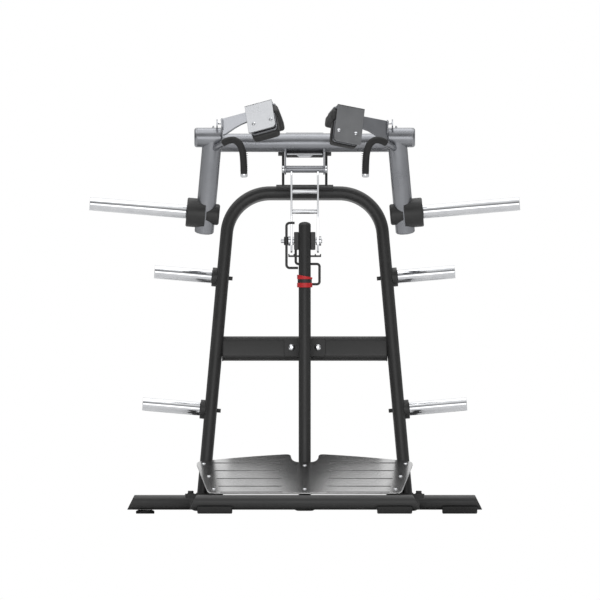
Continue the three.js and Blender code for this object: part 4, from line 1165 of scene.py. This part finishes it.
def build_world():
    """A studio that lights and reflects by direction, and is plain white to the camera."""
    world = bpy.data.worlds.new("studio")
    bpy.context.scene.world = world
    world.use_nodes = True
    tree = world.node_tree
    background = tree.nodes["Background"]
    source = add_node(tree, "TexCoord", {}).outputs["Generated"]
    split = add_node(tree, "SeparateXYZ", {"Vector": source})
    across, along, upward = (split.outputs[axis] for axis in "XYZ")
    front = direction_ramp(tree, upward, (0.0, 0.55), (0.40, 0.30), (0.50, 0.55), (0.60, 0.38), (0.76, 0.30),
                           (0.92, 1.0), (1.0, 1.2))
    back = direction_ramp(tree, upward, (0.0, 0.5), (0.47, 0.35), (0.55, 0.55), (0.70, 0.95), (1.0, 1.35))
    depth = direction_ramp(tree, along, (0.45, 0.0), (0.55, 1.0))
    room = mixed_colours(tree, depth, front, back)
    strips = direction_ramp(tree, across, (0.0, 0.6), (0.2, 0.5), (0.42, 0.7), (0.5, 1.5), (0.58, 0.7),
                            (0.8, 0.5), (1.0, 0.6))
    low = direction_ramp(tree, upward, (0.60, 1.0), (0.85, 0.0))
    lit = mixed_colours(tree, low, room, mixed_colours(tree, 1.0, room, strips, "MULTIPLY"))
    direct = add_node(tree, "LightPath", {}).outputs["Is Camera Ray"]
    seen = mixed_colours(tree, direct, lit, (1, 1, 1, 1))
    tree.links.new(seen, background.inputs["Color"])
    background.inputs["Strength"].default_value = 1.0


def stage_sheet(name, points, tone, roughness):
    """A flat piece of the studio, in metres."""
    mesh = bpy.data.meshes.new(name)
    mesh.from_pydata(points, [], [range(len(points))])
    material, _, shader = new_material(f"{name}_tone")
    shader.inputs["Base Color"].default_value = (tone, tone, tone, 1)
    shader.inputs["Roughness"].default_value = roughness
    mesh.materials.append(material)
    sheet = linked(name, mesh)
    return sheet


def build_flag():
    """A dark studio card behind the machine that shows only in reflections."""
    half = [(0.29, 0.46), (0.29, 0.65), (0.15, 0.685), (0.08, 0.74), (0.05, 0.82)]
    outline = half + [(-x, z) for x, z in reversed(half)]
    flag = stage_sheet("flag", [(x, 0.45, z) for x, z in outline], 0.01, 0.9)
    flag.visible_camera = False
    flag.visible_diffuse = False
    flag.visible_shadow = False


def build_stage():
    build_world()
    half = 60
    corners = [(-half, -half, 0), (half, -half, 0), (half, half, 0), (-half, half, 0)]
    floor = stage_sheet("floor", corners, 0.82, 0.7)
    floor.location.z = cad_box[0][2] - 0.0005
    area_light("key", (-1.6, -1.2, 5.2), (0, 0, 0.9), (3.4, 2.2), 30)
    area_light("fill", (0.0, -6.0, 1.2), (0, 0, 0.9), (5.0, 2.4), 60)
    area_light("top", (0.6, 0.8, 5.0), (0, 0, 0.8), (3.4, 2.4), 30)
    build_flag()
    bpy.context.scene.view_settings.view_transform = "Standard"


def build_camera():
    """A straight front view without perspective."""
    data = bpy.data.cameras.new("camera")
    data.type = "ORTHO"
    data.ortho_scale = 2.268
    camera = linked("camera", data)
    camera.location = (-0.0178, -12, 0.8078)
    camera.rotation_euler = (math.pi / 2, 0, 0)
    bpy.context.scene.camera = camera


build_stage()
build_camera()
build_base()
build_footplate()
build_arch()
build_crossbar()
build_storage()
build_post()
build_prop()
build_pivot()
build_lever()
for pad_side in SIDES:
    build_pad(pad_side)
